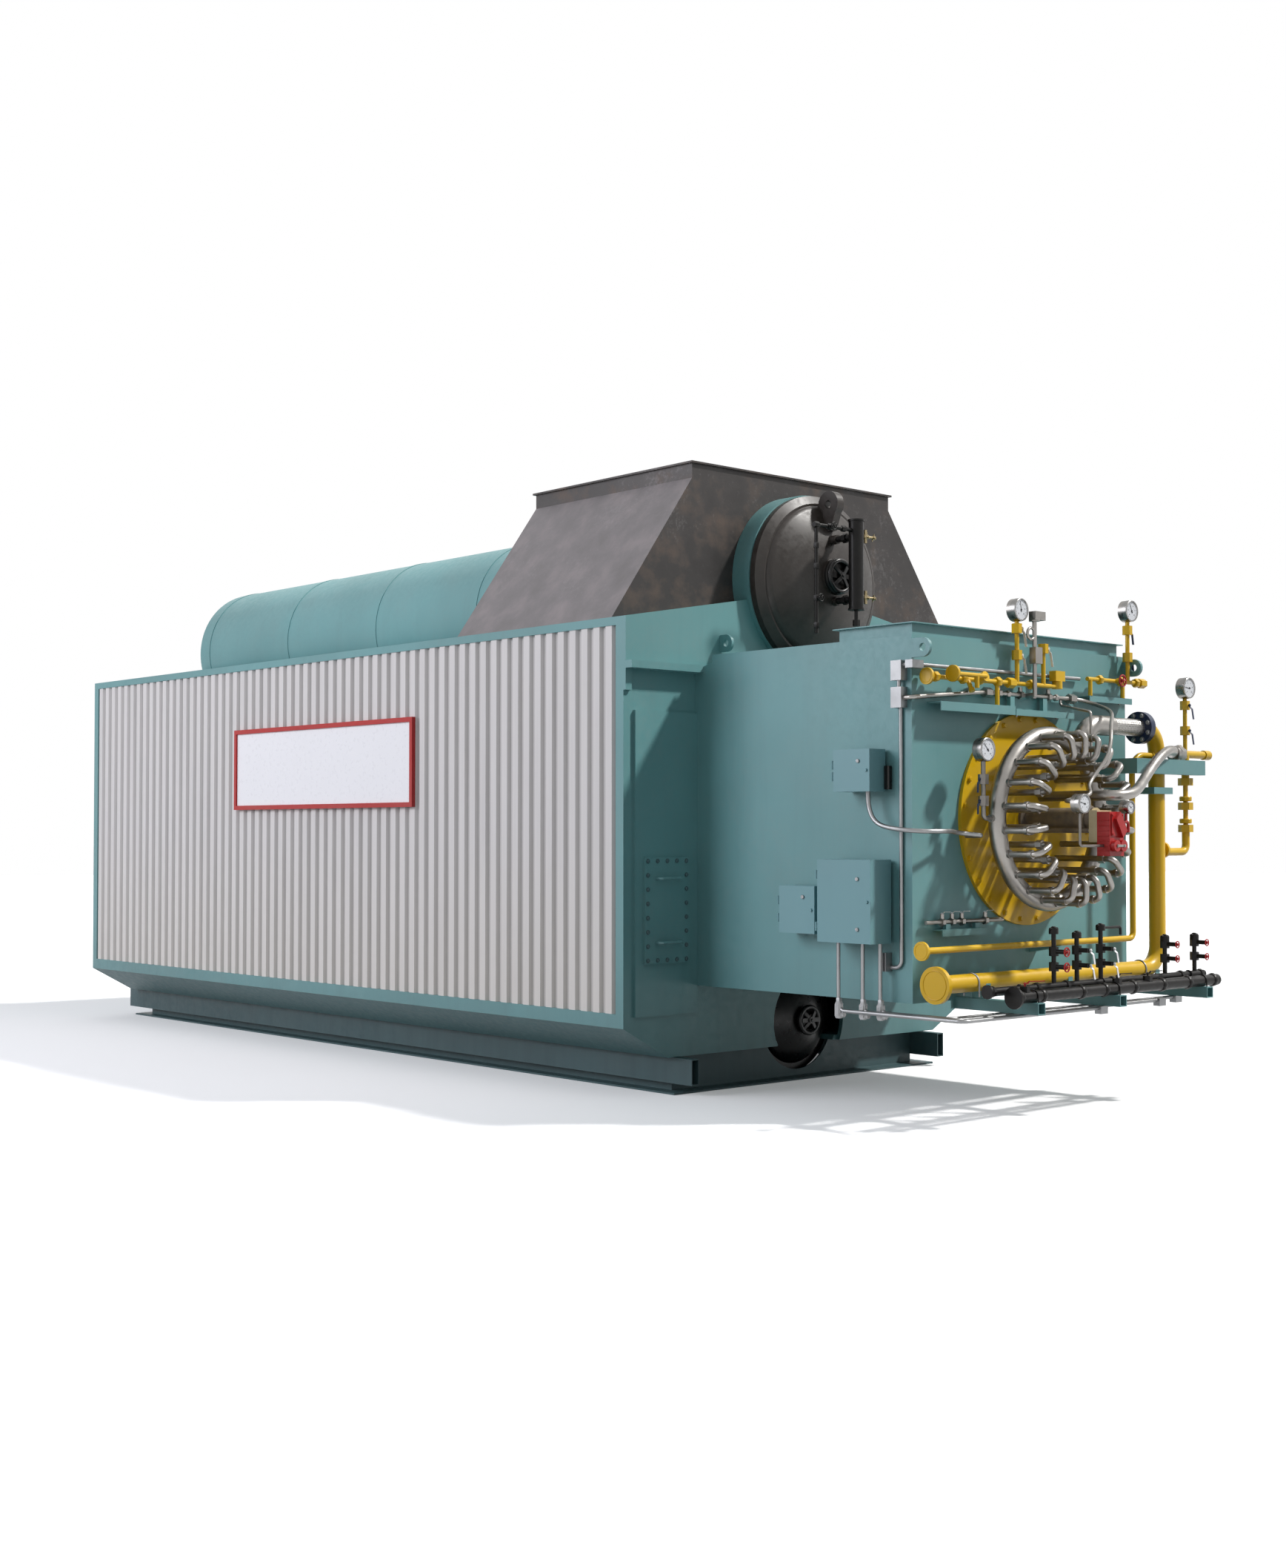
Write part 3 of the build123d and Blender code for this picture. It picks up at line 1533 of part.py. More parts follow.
vent_riser_x, vent_riser_top = drain_risers[vent_riser]
vent_arm_z = vent_riser_top - drain_cap_height / 2
vent_arm = [
    (vent_riser_x, small_header_y, vent_arm_z),
    (vent_riser_x + vent_arm_length, small_header_y, vent_arm_z),
    (vent_riser_x + vent_arm_length, small_header_y, vent_arm_z - vent_arm_drop),
]
small_parts.append(pipe(vent_arm, stem_radius, 2 * stem_radius))
save("drain_headers", large_header, joined(*small_parts))

# Shelves, pipe beam, riser clamp and brackets on the windbox front
beam_front = ring_y - gas_pipe_radius - fit_gap - beam_depth
beam_heights = (beam_z - beam_half_height, beam_z + beam_half_height)
pipe_beam = joined(
    block((beam_left, beam_right), (beam_front, beam_front + beam_depth), beam_heights),
    block((beam_left, beam_left + beam_depth), (beam_front, windbox_front), beam_heights),
)
clamp_right = gas_riser_x + gas_pipe_radius + clamp_wall
clamp_left = gas_riser_x - gas_pipe_radius - 4 * clamp_wall
clamp_reach = gas_pipe_radius + clamp_wall
clamp_heights = (clamp_z, clamp_z + clamp_height)
clamp = cut(
    joined(
        block((clamp_left, clamp_right), (ring_y - clamp_reach, ring_y + clamp_reach), clamp_heights),
        block((clamp_left, clamp_left + 2 * clamp_wall), (ring_y, windbox_front), clamp_heights),
    ),
    upright(gas_riser_x, ring_y, *clamp_heights, gas_pipe_radius + fit_gap),
)
tube_rest = tube_line_z - tube_line_radius - fit_gap
tube_shelf = joined(
    shelf(tube_shelf_left, tube_shelf_right, shelf_front, tube_shelf_z, tube_shelf_lip),
    *[
        block(
            (x - saddle_half_width, x + saddle_half_width),
            (tube_line_y - tube_line_radius, tube_line_y + tube_line_radius),
            (tube_shelf_z + shelf_plate, tube_rest),
        )
        for x in tube_posts
    ],
)
manifold_shelf = joined(
    shelf(manifold_shelf_left, manifold_shelf_right, manifold_shelf_front, manifold_shelf_z, tube_shelf_lip),
    *[
        block(
            (x - saddle_half_width, x + saddle_half_width),
            (manifold_y - manifold_radius, manifold_y + manifold_radius),
            (manifold_shelf_z + shelf_plate, manifold_z - manifold_radius - fit_gap),
        )
        for x in manifold_posts
    ],
)
pilot_rest = pilot_z - pilot_radius - fit_gap
pilot_bracket_points = [
    (windbox_front, pilot_rest),
    (ring_y - pilot_radius, pilot_rest),
    (ring_y - pilot_radius, pilot_rest - shelf_plate),
    (windbox_front, pilot_rest - pilot_bracket_height),
]
pilot_bracket_right = pilot_bracket_left + pilot_bracket_width
pilot_bracket = side_section(pilot_bracket_points, pilot_bracket_left, pilot_bracket_right)
left_shelf = shelf(left_shelf_left, tube_shelf_left - shelf_plate, shelf_front, left_shelf_z, left_shelf_lip)
right_shelf = shelf(
    right_train_left + train_pipe_radius, right_riser_x + train_valve_radius,
    right_shelf_front, right_shelf_z, tube_shelf_lip,
)
save("pipe_supports", left_shelf, tube_shelf, right_shelf, pipe_beam, clamp, manifold_shelf, pilot_bracket)


# Enclosures with hinged doors on the left face of the windbox
def enclosure(name, y_front, y_rear, z_low, z_high, depth):
    """Sheet box on a mounting channel, with its door hinged at the rear edge."""
    back = -windbox_half_width - enclosure_standoff
    face = back - depth
    shell = cut(
        block((face, back), (y_front, y_rear), (z_low, z_high)),
        block(
            (face, back - enclosure_sheet),
            (y_front + enclosure_sheet, y_rear - enclosure_sheet),
            (z_low + enclosure_sheet, z_high - enclosure_sheet),
        ),
    )
    middle_z = (z_low + z_high) / 2
    channel = block(
        (back, -windbox_half_width),
        (y_front + channel_inset, y_rear - channel_inset),
        (middle_z - channel_half_height, middle_z + channel_half_height),
    )
    door_back = face - fit_gap
    door_front = door_back - door_thickness
    pin_x = door_back - door_thickness / 2
    pin_y = y_rear + hinge_barrel_radius + hinge_stand
    body_parts = [shell, channel]
    door_parts = [block((door_front, door_back), (y_front, y_rear), (z_low, z_high))]
    bores = []
    for hinge_z in (z_low + hinge_inset, z_high - hinge_inset - hinge_length):
        barrel_low = hinge_z + hinge_ear
        barrel_high = hinge_z + hinge_length - hinge_ear
        body_parts.append(upright(pin_x, pin_y, hinge_z, hinge_z + hinge_length, hinge_pin_radius))
        for ear_low in (hinge_z, barrel_high + hinge_end_gap):
            ear_high = ear_low + hinge_ear - hinge_end_gap
            body_parts.append(upright(pin_x, pin_y, ear_low, ear_high, hinge_barrel_radius))
            body_parts.append(
                block((face, face + 3 * hinge_barrel_radius), (y_rear, pin_y), (ear_low, ear_high))
            )
        door_parts.append(upright(pin_x, pin_y, barrel_low, barrel_high, hinge_barrel_radius))
        door_parts.append(
            block((door_front, pin_x), (y_rear - hinge_end_gap, pin_y), (barrel_low, barrel_high))
        )
        bores.append(upright(pin_x, pin_y, barrel_low, barrel_high, hinge_pin_radius + hinge_clearance))
    latch_y = y_front + latch_inset
    door_parts.append(cross_bar(door_front - latch_height, door_front, latch_y, middle_z, latch_radius))
    save(name, joined(*body_parts))
    save(f"{name}_door", cut(joined(*door_parts), *bores))


enclosure("main_box", *main_box)
enclosure("small_box", *small_box)
enclosure("upper_box", *upper_box)

# Conduits with their boxes
conduits = []
main_box_low = main_box[2]
conduit_floor_z = bracket_bottom - conduit_radius - fit_gap
for stand, start_y, front_y, end_x in floor_conduits:
    start_x = -windbox_half_width - stand
    conduit_path = [
        (start_x, start_y, main_box_low),
        (start_x, start_y, conduit_floor_z),
        (start_x, front_y, conduit_floor_z),
        (end_x, front_y, conduit_floor_z),
    ]
    end_box = block(
        (end_x, end_x + conduit_box_length),
        (front_y - 2 * conduit_radius, front_y + 2 * conduit_radius),
        (conduit_floor_z - 3 * conduit_radius, conduit_floor_z + conduit_radius),
    )
    conduits.append(joined(pipe(conduit_path, conduit_radius, conduit_bend), end_box))

box_left = -windbox_half_width - junction_depth
box_middle_x = -windbox_half_width - junction_depth / 2
box_sides = ((box_left, -windbox_half_width), (junction_front, junction_rear))
riser_x = -windbox_half_width - conduit_radius - fit_gap
riser_y = (junction_front + junction_rear) / 2
foot_path = [
    (riser_x, riser_y, lower_junction[0]),
    (riser_x, riser_y, conduit_foot_z),
    (riser_x, foot_box_front, conduit_foot_z),
]
side_box_front = tube_line_y - 2 * conduit_radius
upper_conduit_z = upper_junction[1] - upper_conduit_drop
conduits.append(
    joined(
        block(*box_sides, lower_junction),
        block(*box_sides, upper_junction),
        upright(box_middle_x, riser_y, lower_junction[1], upper_junction[0], conduit_radius),
        pipe(foot_path, conduit_radius, conduit_bend),
        block(
            (box_left, -windbox_half_width),
            (foot_box_front, foot_box_front + foot_box_depth),
            (conduit_foot_z - 2 * conduit_radius, conduit_foot_z + foot_box_height),
        ),
        along_y(conduit_radius, tube_line_y, junction_front, box_middle_x, upper_conduit_z),
        block(
            (box_left, box_left + side_box_length),
            (side_box_front, windbox_front - fit_gap),
            (upper_conduit_z - 2 * conduit_radius, upper_conduit_z + 2 * conduit_radius),
        ),
        cross_bar(
            box_left + side_box_length, upper_conduit_right, windbox_front - 2 * conduit_radius,
            upper_conduit_z, conduit_radius,
        ),
    )
)
flex_start = (flex_start_x, flex_start_y, upper_box[2])
flex_end = (flex_end_x, plate_front, flex_end_z)
flex_points = [flex_start, *flex_route, flex_end]
conduits.append(hose(flex_points, flex_radius, (0, 0, -1), (0, 1, 0)))
save("conduits", *conduits)

# Silver tube line with its pressure switch, loop hoses and lower manifold
tube_path = [
    (box_middle_x, junction_front, tube_start_z),
    (box_middle_x, tube_line_y, tube_start_z),
    (tube_union_x, tube_line_y, tube_line_z),
    (tube_line_right, tube_line_y, tube_line_z),
]
switch_y = train_y - train_pipe_radius - 2 * tube_line_radius
siphon_z = (lower_switch[1] + upper_switch[0]) / 2
tube_line = joined(
    pipe(tube_path, tube_line_radius, 2 * tube_line_radius),
    cross_nut(tube_union_x, tube_union_x + train_valve_height, tube_line_y, tube_line_z, train_valve_radius),
    *[
        cross_nut(x, x + 2 * tube_line_radius, tube_line_y, tube_line_z, 2 * tube_line_radius)
        for x in tube_tees
    ],
    *[
        upright(
            x + tube_line_radius, tube_line_y, tube_line_z, tube_line_z + tube_tee_height, tube_line_radius
        )
        for x in tube_tees
    ],
    cross_nut(tube_line_right - train_valve_height, tube_line_right, tube_line_y, tube_line_z, train_valve_radius),
    along_y(tube_line_radius, switch_y, tube_line_y, switch_x, tube_line_z),
    upright(switch_x, switch_y, tube_line_z - tube_line_radius, upper_switch[0], tube_line_radius),
    block(
        (switch_x - switch_half_width, switch_x + switch_half_width),
        (switch_y - switch_half_width, switch_y + tube_line_radius),
        lower_switch,
    ),
    upright(switch_x, switch_y, upper_switch[0] - shelf_plate, upper_switch[0], switch_half_width),
    block(
        (switch_x - switch_half_width, switch_x + 2 * switch_half_width),
        (switch_y - switch_half_width, switch_y + switch_half_width / 2),
        upper_switch,
    ),
)
with BuildPart() as siphon:
    with BuildSketch(Plane.XY.offset(siphon_z)):
        with Locations((switch_x, switch_y)):
            Circle(stem_radius)
    revolve(axis=Axis((switch_x - siphon_radius, switch_y, siphon_z), (0, 1, 0)), revolution_arc=350)
loop_start = (tube_line_right, tube_line_y, tube_line_z)
loop_end = (
    gun_gauge_x + gun_gauge_radius / 2,
    handle_y + gauge_depth / 2,
    gun_gauge_z + gun_gauge_radius / 4,
)
loop_hose = hose([loop_start, *loop_route, loop_end], loop_hose_radius, (1, 0, 0), (0, -1, 0))
thin_path = [
    (thin_tube_x, tube_line_y, tube_line_z - tube_line_radius - fit_gap),
    (thin_tube_x, tube_line_y, tube_line_z - thin_tube_drop),
    (thin_tube_x, thin_tube_y, tube_line_z - thin_tube_drop - thin_tube_drop),
    (thin_tube_x, thin_tube_y, thin_tube_low_z),
    (thin_tube_x, plate_front, thin_tube_low_z),
]
thin_tube = pipe(thin_path, stem_radius, 3 * stem_radius)
manifold = joined(
    cross_bar(manifold_left, manifold_right, manifold_y, manifold_z, manifold_radius),
    *[
        upright(x, manifold_y, manifold_z, manifold_z + manifold_valve_height, manifold_radius)
        for x in manifold_valves
    ],
    *[
        cross_nut(x - manifold_radius, x + manifold_radius, manifold_y, manifold_z, 2 * manifold_radius)
        for x in manifold_valves
    ],
)
save("tube_line", joined(tube_line, siphon.part), loop_hose, thin_tube, manifold)
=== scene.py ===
import json
import math

import bmesh
import bpy
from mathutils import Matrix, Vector


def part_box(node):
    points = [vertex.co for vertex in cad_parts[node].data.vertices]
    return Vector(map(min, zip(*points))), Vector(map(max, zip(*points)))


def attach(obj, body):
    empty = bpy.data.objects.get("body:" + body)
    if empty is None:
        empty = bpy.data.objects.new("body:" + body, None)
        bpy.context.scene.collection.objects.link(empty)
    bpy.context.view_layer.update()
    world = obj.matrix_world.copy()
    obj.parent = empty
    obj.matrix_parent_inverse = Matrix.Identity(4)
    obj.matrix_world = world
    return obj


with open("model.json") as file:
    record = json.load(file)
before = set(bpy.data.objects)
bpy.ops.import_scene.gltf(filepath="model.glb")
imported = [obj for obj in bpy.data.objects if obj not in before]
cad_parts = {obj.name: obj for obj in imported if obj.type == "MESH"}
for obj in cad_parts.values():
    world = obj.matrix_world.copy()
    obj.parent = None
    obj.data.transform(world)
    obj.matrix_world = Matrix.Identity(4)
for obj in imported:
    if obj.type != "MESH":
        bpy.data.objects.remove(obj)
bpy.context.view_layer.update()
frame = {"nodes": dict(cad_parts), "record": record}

nodes = frame["nodes"]
scene = bpy.context.scene
scene.view_settings.view_transform = "Standard"

FRONT = (0, -1, 0)
LEFT = (-1, 0, 0)
RIGHT = (1, 0, 0)
UP = (0, 0, 1)
DOWN = (0, 0, -1)

# Camera at the photograph's viewpoint, in metres, millimetres and degrees
CAMERA_PLACE = (-9.1035, -8.5799, 1.5842)
CAMERA_YAW = 41.759
CAMERA_PITCH = 1.476
CAMERA_LENS = 44.0
SENSOR_WIDTH = 36
CAMERA_REACH = 200
camera = bpy.data.cameras.new("camera")
camera.sensor_width = SENSOR_WIDTH
camera.lens = CAMERA_LENS
camera.clip_end = CAMERA_REACH
camera_object = bpy.data.objects.new("camera", camera)
camera_object.location = CAMERA_PLACE
camera_object.rotation_euler = (math.radians(90 + CAMERA_PITCH), 0, math.radians(-CAMERA_YAW))
scene.collection.objects.link(camera_object)
scene.camera = camera_object


# Materials
def srgb(red, green, blue):
    """Linear colour from 8-bit display values."""
    def linear(value):
        value /= 255
        return value / 12.92 if value <= 0.04045 else ((value + 0.055) / 1.055) ** 2.4
    return (linear(red), linear(green), linear(blue), 1)


def scaled(colour, factor):
    return (colour[0] * factor, colour[1] * factor, colour[2] * factor, 1)


class Nodes:
    """Short calls that make and join the nodes of one tree."""

    def __init__(self, tree):
        self.tree = tree
        tree.nodes.clear()

    def node(self, kind, **settings):
        made = self.tree.nodes.new(kind)
        for key, value in settings.items():
            setattr(made, key, value)
        return made

    def link(self, source, target):
        self.tree.links.new(source, target)

    def ramp(self, value, start, end, low=0, high=1):
        """Value mapped from the range start to end onto low to high, clamped."""
        mapped = self.node("ShaderNodeMapRange")
        mapped.inputs["From Min"].default_value = start
        mapped.inputs["From Max"].default_value = end
        mapped.inputs["To Min"].default_value = low
        mapped.inputs["To Max"].default_value = high
        self.link(value, mapped.inputs["Value"])
        return mapped.outputs["Result"]

    def mix(self, share, first, second):
        """Colour mix; first and second are colours or outputs."""
        mixer = self.node("ShaderNodeMix", data_type="RGBA")
        self.link(share, mixer.inputs["Factor"])
        for socket, value in ((mixer.inputs["A"], first), (mixer.inputs["B"], second)):
            if isinstance(value, tuple):
                socket.default_value = value
            else:
                self.link(value, socket)
        return mixer.outputs["Result"]

    def math(self, operation, first, second=0):
        maths = self.node("ShaderNodeMath", operation=operation)
        for socket, value in zip(maths.inputs, (first, second)):
            if isinstance(value, (int, float)):
                socket.default_value = value
            else:
                self.link(value, socket)
        return maths.outputs["Value"]

    def seen(self):
        """1 where a thing is seen directly, mirrored or through glass, and 0 where it only gives light."""
        paths = self.node("ShaderNodeLightPath")
        share = paths.outputs["Is Camera Ray"]
        for ray in ("Is Glossy Ray", "Is Transmission Ray"):
            share = self.math("MAXIMUM", share, paths.outputs[ray])
        return share


class Shader(Nodes):
    """A material under construction."""

    def __init__(self, name):
        self.material = bpy.data.materials.new(name)
        self.material.use_nodes = True
        super().__init__(self.material.node_tree)
        self.surface = self.node("ShaderNodeBsdfPrincipled")
        output = self.node("ShaderNodeOutputMaterial")
        self.link(self.surface.outputs["BSDF"], output.inputs["Surface"])
        self.place = self.node("ShaderNodeTexCoord").outputs["Object"]

    def set(self, **values):
        for key, value in values.items():
            self.surface.inputs[key.replace("_", " ")].default_value = value

    def noise(self, scale, detail=4, rough=0.55, stretch=None):
        """Noise over the object's own place, in metres."""
        texture = self.node("ShaderNodeTexNoise")
        texture.inputs["Scale"].default_value = scale
        texture.inputs["Detail"].default_value = detail
        texture.inputs["Roughness"].default_value = rough
        source = self.place
        if stretch:
            mapping = self.node("ShaderNodeMapping")
            mapping.inputs["Scale"].default_value = stretch
            self.link(source, mapping.inputs["Vector"])
            source = mapping.outputs["Vector"]
        self.link(source, texture.inputs["Vector"])
        return texture.outputs["Fac"]

    def part_of(self, source, letter):
        split = self.node("ShaderNodeSeparateXYZ")
        self.link(source, split.inputs["Vector"])
        return split.outputs[letter]

    def axis(self, letter):
        return self.part_of(self.place, letter)

    def bump(self, height, strength, distance):
        bumper = self.node("ShaderNodeBump")
        bumper.inputs["Strength"].default_value = strength
        bumper.inputs["Distance"].default_value = distance
        self.link(height, bumper.inputs["Height"])
        self.link(bumper.outputs["Normal"], self.surface.inputs["Normal"])

    def colour(self, source):
        self.link(source, self.surface.inputs["Base Color"])

    def roughness(self, source):
        self.link(source, self.surface.inputs["Roughness"])


DUST = (0.30, 0.29, 0.27, 1)


def paint(name, colour, rough=0.42, fade=0.10, grime=0.10, gloss=0.4, peel=0.10):
    """Enamel on plate: slow fading, run marks, dust in patches, painted shade low down near the floor,
    orange-peel bump.
    """
    made = Shader(name)
    slow = made.noise(0.8, detail=3)
    fine = made.noise(26, detail=5, rough=0.65)
    runs = made.noise(1.0, rough=0.6, stretch=(9, 9, 0.7))
    base = made.mix(made.ramp(slow, 0.35, 0.65), scaled(colour, 1 - fade), scaled(colour, 1 + fade))
    streaks = made.ramp(runs, 0.52, 0.78, high=grime * 1.6)
    streaked = made.mix(streaks, base, scaled(colour, 0.62))
    dust = made.ramp(made.math("MULTIPLY", fine, made.noise(2.6)), 0.2, 0.42, high=grime)
    dusted = made.mix(dust, streaked, DUST)
    # Painted shade: darker towards the floor, broken up by the run noise
    near_floor_shade = made.ramp(made.axis("Z"), 0.1, 0.9, low=0.62, high=0)
    painted_low_shade = made.math("MULTIPLY", near_floor_shade, made.ramp(runs, 0.3, 0.7, low=0.7))
    made.colour(made.mix(painted_low_shade, dusted, scaled(colour, 0.45)))
    made.roughness(made.ramp(fine, 0.35, 0.7, low=rough - 0.06, high=rough + 0.12))
    made.set(Specular_IOR_Level=gloss)
    made.bump(made.noise(240, detail=2), strength=peel, distance=0.0006)
    return made.material


def metal(name, colour, rough, scale=40, variation=0.15):
    """Bare metal: cloudy tone, fine worked grain and handling smudges."""
    made = Shader(name)
    grain = made.noise(scale, detail=5)
    cloud = made.ramp(made.noise(7), 0.3, 0.7)
    tone = made.mix(cloud, scaled(colour, 1 - variation), scaled(colour, 1 + variation * 0.6))
    made.colour(made.mix(made.ramp(grain, 0.5, 0.8, high=0.25), tone, scaled(colour, 0.72)))
    made.roughness(made.ramp(made.noise(14), 0.3, 0.7, low=rough - 0.06, high=rough + 0.10))
    made.set(Metallic=1.0)
    made.bump(grain, strength=0.05, distance=0.0003)
    return made.material


def ribbed_sheet(name, colour, node):
    """Coated sheet: pale crests, painted shade in the grooves, long rain marks and a painted warm highlight
    towards the lower edge.
    """
    made = Shader(name)
    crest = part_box(node)[1].x
    groove = crest - 0.025
    depth = made.math("ABSOLUTE", made.axis("X"))
    runs = made.noise(1.0, rough=0.6, stretch=(2, 7, 0.5))
    fine = made.noise(34, rough=0.6)
    worn = made.mix(made.ramp(runs, 0.45, 0.75, high=0.6), colour, scaled(colour, 0.86))
    # Painted warm highlight: paler and warmer towards the bottom
    low_highlight = made.ramp(made.axis("Z"), 0.5, 1.6, low=0.4, high=0)
    toned = made.mix(low_highlight, worn, srgb(214, 208, 196))
    # Painted shade in the grooves between the ribs
    groove_shade = made.ramp(depth, groove, crest - 0.008, low=0.5, high=0)
    made.colour(made.mix(groove_shade, toned, scaled(colour, 0.42)))
    made.roughness(made.ramp(fine, 0.3, 0.7, low=0.32, high=0.50))
    made.set(Specular_IOR_Level=0.4)
    made.bump(fine, strength=0.04, distance=0.0005)
    return made.material


def mill_steel(name, colour):
    """Hot-rolled plate: patchy scale, brown clouds, pale scuffs, and on what faces up both dust and a
    painted sheen of the sky.
    """
    made = Shader(name)
    clouds = made.noise(1.7, detail=6, rough=0.62)
    patches = made.noise(5.5, detail=5, rough=0.6)
    fine = made.noise(38, detail=5, rough=0.65)
    base = made.mix(made.ramp(clouds, 0.38, 0.62), scaled(colour, 0.78), scaled(colour, 1.25))
    rusty = made.mix(made.ramp(patches, 0.5, 0.75, high=0.55), base, srgb(96, 78, 66))
    scuffs = made.ramp(made.math("MULTIPLY", fine, clouds), 0.3, 0.45, high=0.4)
    scuffed = made.mix(scuffs, rusty, srgb(126, 122, 122))
    facing = made.part_of(made.node("ShaderNodeNewGeometry").outputs["Normal"], "Z")
    # Paler on faces that point up: settled dust, and a painted sheen of the sky
    up_dust_sheen_mask = made.ramp(facing, 0.1, 0.6, high=0.62)
    dust_and_sheen = made.math("MULTIPLY", up_dust_sheen_mask, made.ramp(patches, 0.3, 0.7, low=0.55))
    made.colour(made.mix(dust_and_sheen, scuffed, srgb(158, 152, 154)))
    made.roughness(made.ramp(patches, 0.3, 0.7, low=0.36, high=0.60))
    made.set(Metallic=0.15)
    made.bump(fine, strength=0.18, distance=0.0008)
    return made.material


def braid(name, colour, node):
    """Woven wire sleeve on a straight joint: crossed strands wound round the joint's own axis."""
    made = Shader(name)
    strands = 14
    pitch = 420
    low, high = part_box(node)
    middle = (low + high) / 2
    across = made.math("SUBTRACT", made.axis("Y"), middle.y)
    rise = made.math("SUBTRACT", made.axis("Z"), middle.z)
    turn = made.math("MULTIPLY", made.math("ARCTAN2", rise, across), strands)
    along = made.math("MULTIPLY", made.axis("X"), pitch)
    first = made.math("SINE", made.math("ADD", along, turn))
    second = made.math("SINE", made.math("SUBTRACT", along, turn))
    weave = made.math("MAXIMUM", first, second)
    made.colour(made.mix(made.ramp(weave, -0.4, 0.9), scaled(colour, 0.35), colour))
    made.roughness(made.ramp(weave, -0.2, 0.9, low=0.5, high=0.28))
    made.set(Metallic=1.0)
    made.bump(weave, strength=0.6, distance=0.0015)
    return made.material


def gun_look(name, node):
    """Enamelled block on a bare, heat-darkened tube; the change is where the tube enters the block."""
    made = Shader(name)
    block_depth = 0.056
    block_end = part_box(node)[0].y + block_depth
    on_tube = made.ramp(made.axis("Y"), block_end, block_end + 0.002)
    heat = made.ramp(made.noise(11, detail=5), 0.35, 0.65)
    tube = made.mix(heat, srgb(92, 84, 76), srgb(126, 112, 92))
    block = made.mix(heat, srgb(182, 168, 132), srgb(196, 182, 146))
    made.colour(made.mix(on_tube, block, tube))
    made.roughness(made.ramp(made.noise(30), 0.3, 0.7, low=0.34, high=0.52))
    made.bump(made.noise(180, detail=2), strength=0.1, distance=0.0005)
    return made.material


teal = paint("teal_paint", srgb(98, 145, 147), fade=0.08, gloss=0.5)
cladding_paint = ribbed_sheet("cladding_paint", srgb(212, 209, 207), "side_cladding")
hopper_paint = mill_steel("hopper_steel", srgb(48, 44, 43))
# Teal darkened as painted shade: the shade under the lower slope on the base beams and skid tubes, and the
# wall's shade on the access-door bolts
painted_shade_teal = paint("teal_in_painted_shade", srgb(70, 98, 102), rough=0.46, fade=0.08)
black = paint("black_enamel", srgb(17, 15, 14), rough=0.36, fade=0.2, grime=0.015, gloss=0.2)
drum_black = paint("drum_enamel", srgb(13, 12, 12), rough=0.32, fade=0.2, grime=0.005, gloss=0.35, peel=0.02)
head_paint = paint("head_enamel", srgb(44, 38, 34), rough=0.38, fade=0.15, grime=0.03, peel=0.03)
yellow = paint("gas_yellow", srgb(212, 170, 12), rough=0.34, fade=0.07, grime=0.04)
navy = paint("navy_enamel", srgb(26, 40, 72), rough=0.36, fade=0.12, grime=0.06)
red = paint("red_enamel", srgb(168, 22, 22), rough=0.36, grime=0.05)
white = paint("white_enamel", srgb(238, 238, 240), rough=0.3, fade=0.015, grime=0.0, peel=0.0)
beige = paint("beige_enamel", srgb(190, 176, 140), fade=0.08, grime=0.08)
box_paint = paint("box_enamel", srgb(106, 150, 156), rough=0.36, fade=0.04, grime=0.03, gloss=0.5)
stainless = metal("stainless_steel", srgb(146, 143, 139), rough=0.34, variation=0.10)
galvanised = metal("galvanised_steel", srgb(138, 139, 140), rough=0.42, scale=18, variation=0.12)
brass = metal("brass_metal", srgb(150, 136, 106), rough=0.36)
gauge_rim = metal("gauge_rim_steel", srgb(138, 137, 135), rough=0.25)
dial_white = paint("dial_enamel", srgb(220, 223, 228), rough=0.22, fade=0.01, grime=0.0, gloss=0.5, peel=0.0)
pipe_steel = metal("gauge_pipe_steel", srgb(118, 115, 111), rough=0.36)

# Finish of each slot in the record, and of the nodes that differ from their slot
finishes = {
    "teal_paint": teal,
    "cladding_grey": cladding_paint,
    "hopper_dark": hopper_paint,
    "black_paint": black,
    "yellow_paint": yellow,
    "navy_paint": navy,
    "red_paint": red,
    "white_paint": white,
    "box_grey": box_paint,
    "beige_paint": beige,
    "stainless": stainless,
    "galvanised": galvanised,
    "brass": brass,
}
own_looks = {
    # Painted shade: the base beams and skid tubes take the darkened teal
    "base_side_beams": painted_shade_teal,
    "base_end_beams": painted_shade_teal,
    "skid_tubes": painted_shade_teal,
    "braided_joint": braid("joint_braid", srgb(176, 174, 170), "braided_joint"),
    "burner_gun": gun_look("gun_enamel", "burner_gun"),
    "gauge_pipes": pipe_steel,
    "steam_drum_front_head": head_paint,
    "mud_drum_heads": drum_black,
}
for entry in frame["record"]["subparts"]:
    mesh = nodes[entry["node"]].data
    mesh.materials.clear()
    mesh.materials.append(own_looks.get(entry["node"], finishes[entry["material_slot"]]))


# Tools for the added pieces
def axes_of(axis):
    """Two directions across an axis, and the axis itself."""
    along = Vector(axis).normalized()
    side = along.orthogonal().normalized()
    return side, along.cross(side), along


def round_outline(radius, count=10):
    turns = [2 * math.pi * index / count for index in range(count)]
    return [(radius * math.cos(turn), radius * math.sin(turn)) for turn in turns]


def flat_outline(thick, wide):
    """Flat bar with broken corners."""
    a = thick / 2
    b = wide / 2
    c = min(a, b) * 0.4
    quarter = [(a, b - c), (a - c, b), (c - a, b), (-a, b - c)]
    return quarter + [(-u, -v) for u, v in quarter]


def ring_path(centre, axis, radius, count=40):
    """Points round a circle across an axis."""
    side, up, along = axes_of(axis)
    return [Vector(centre) + side * u + up * v for u, v in round_outline(radius, count)]


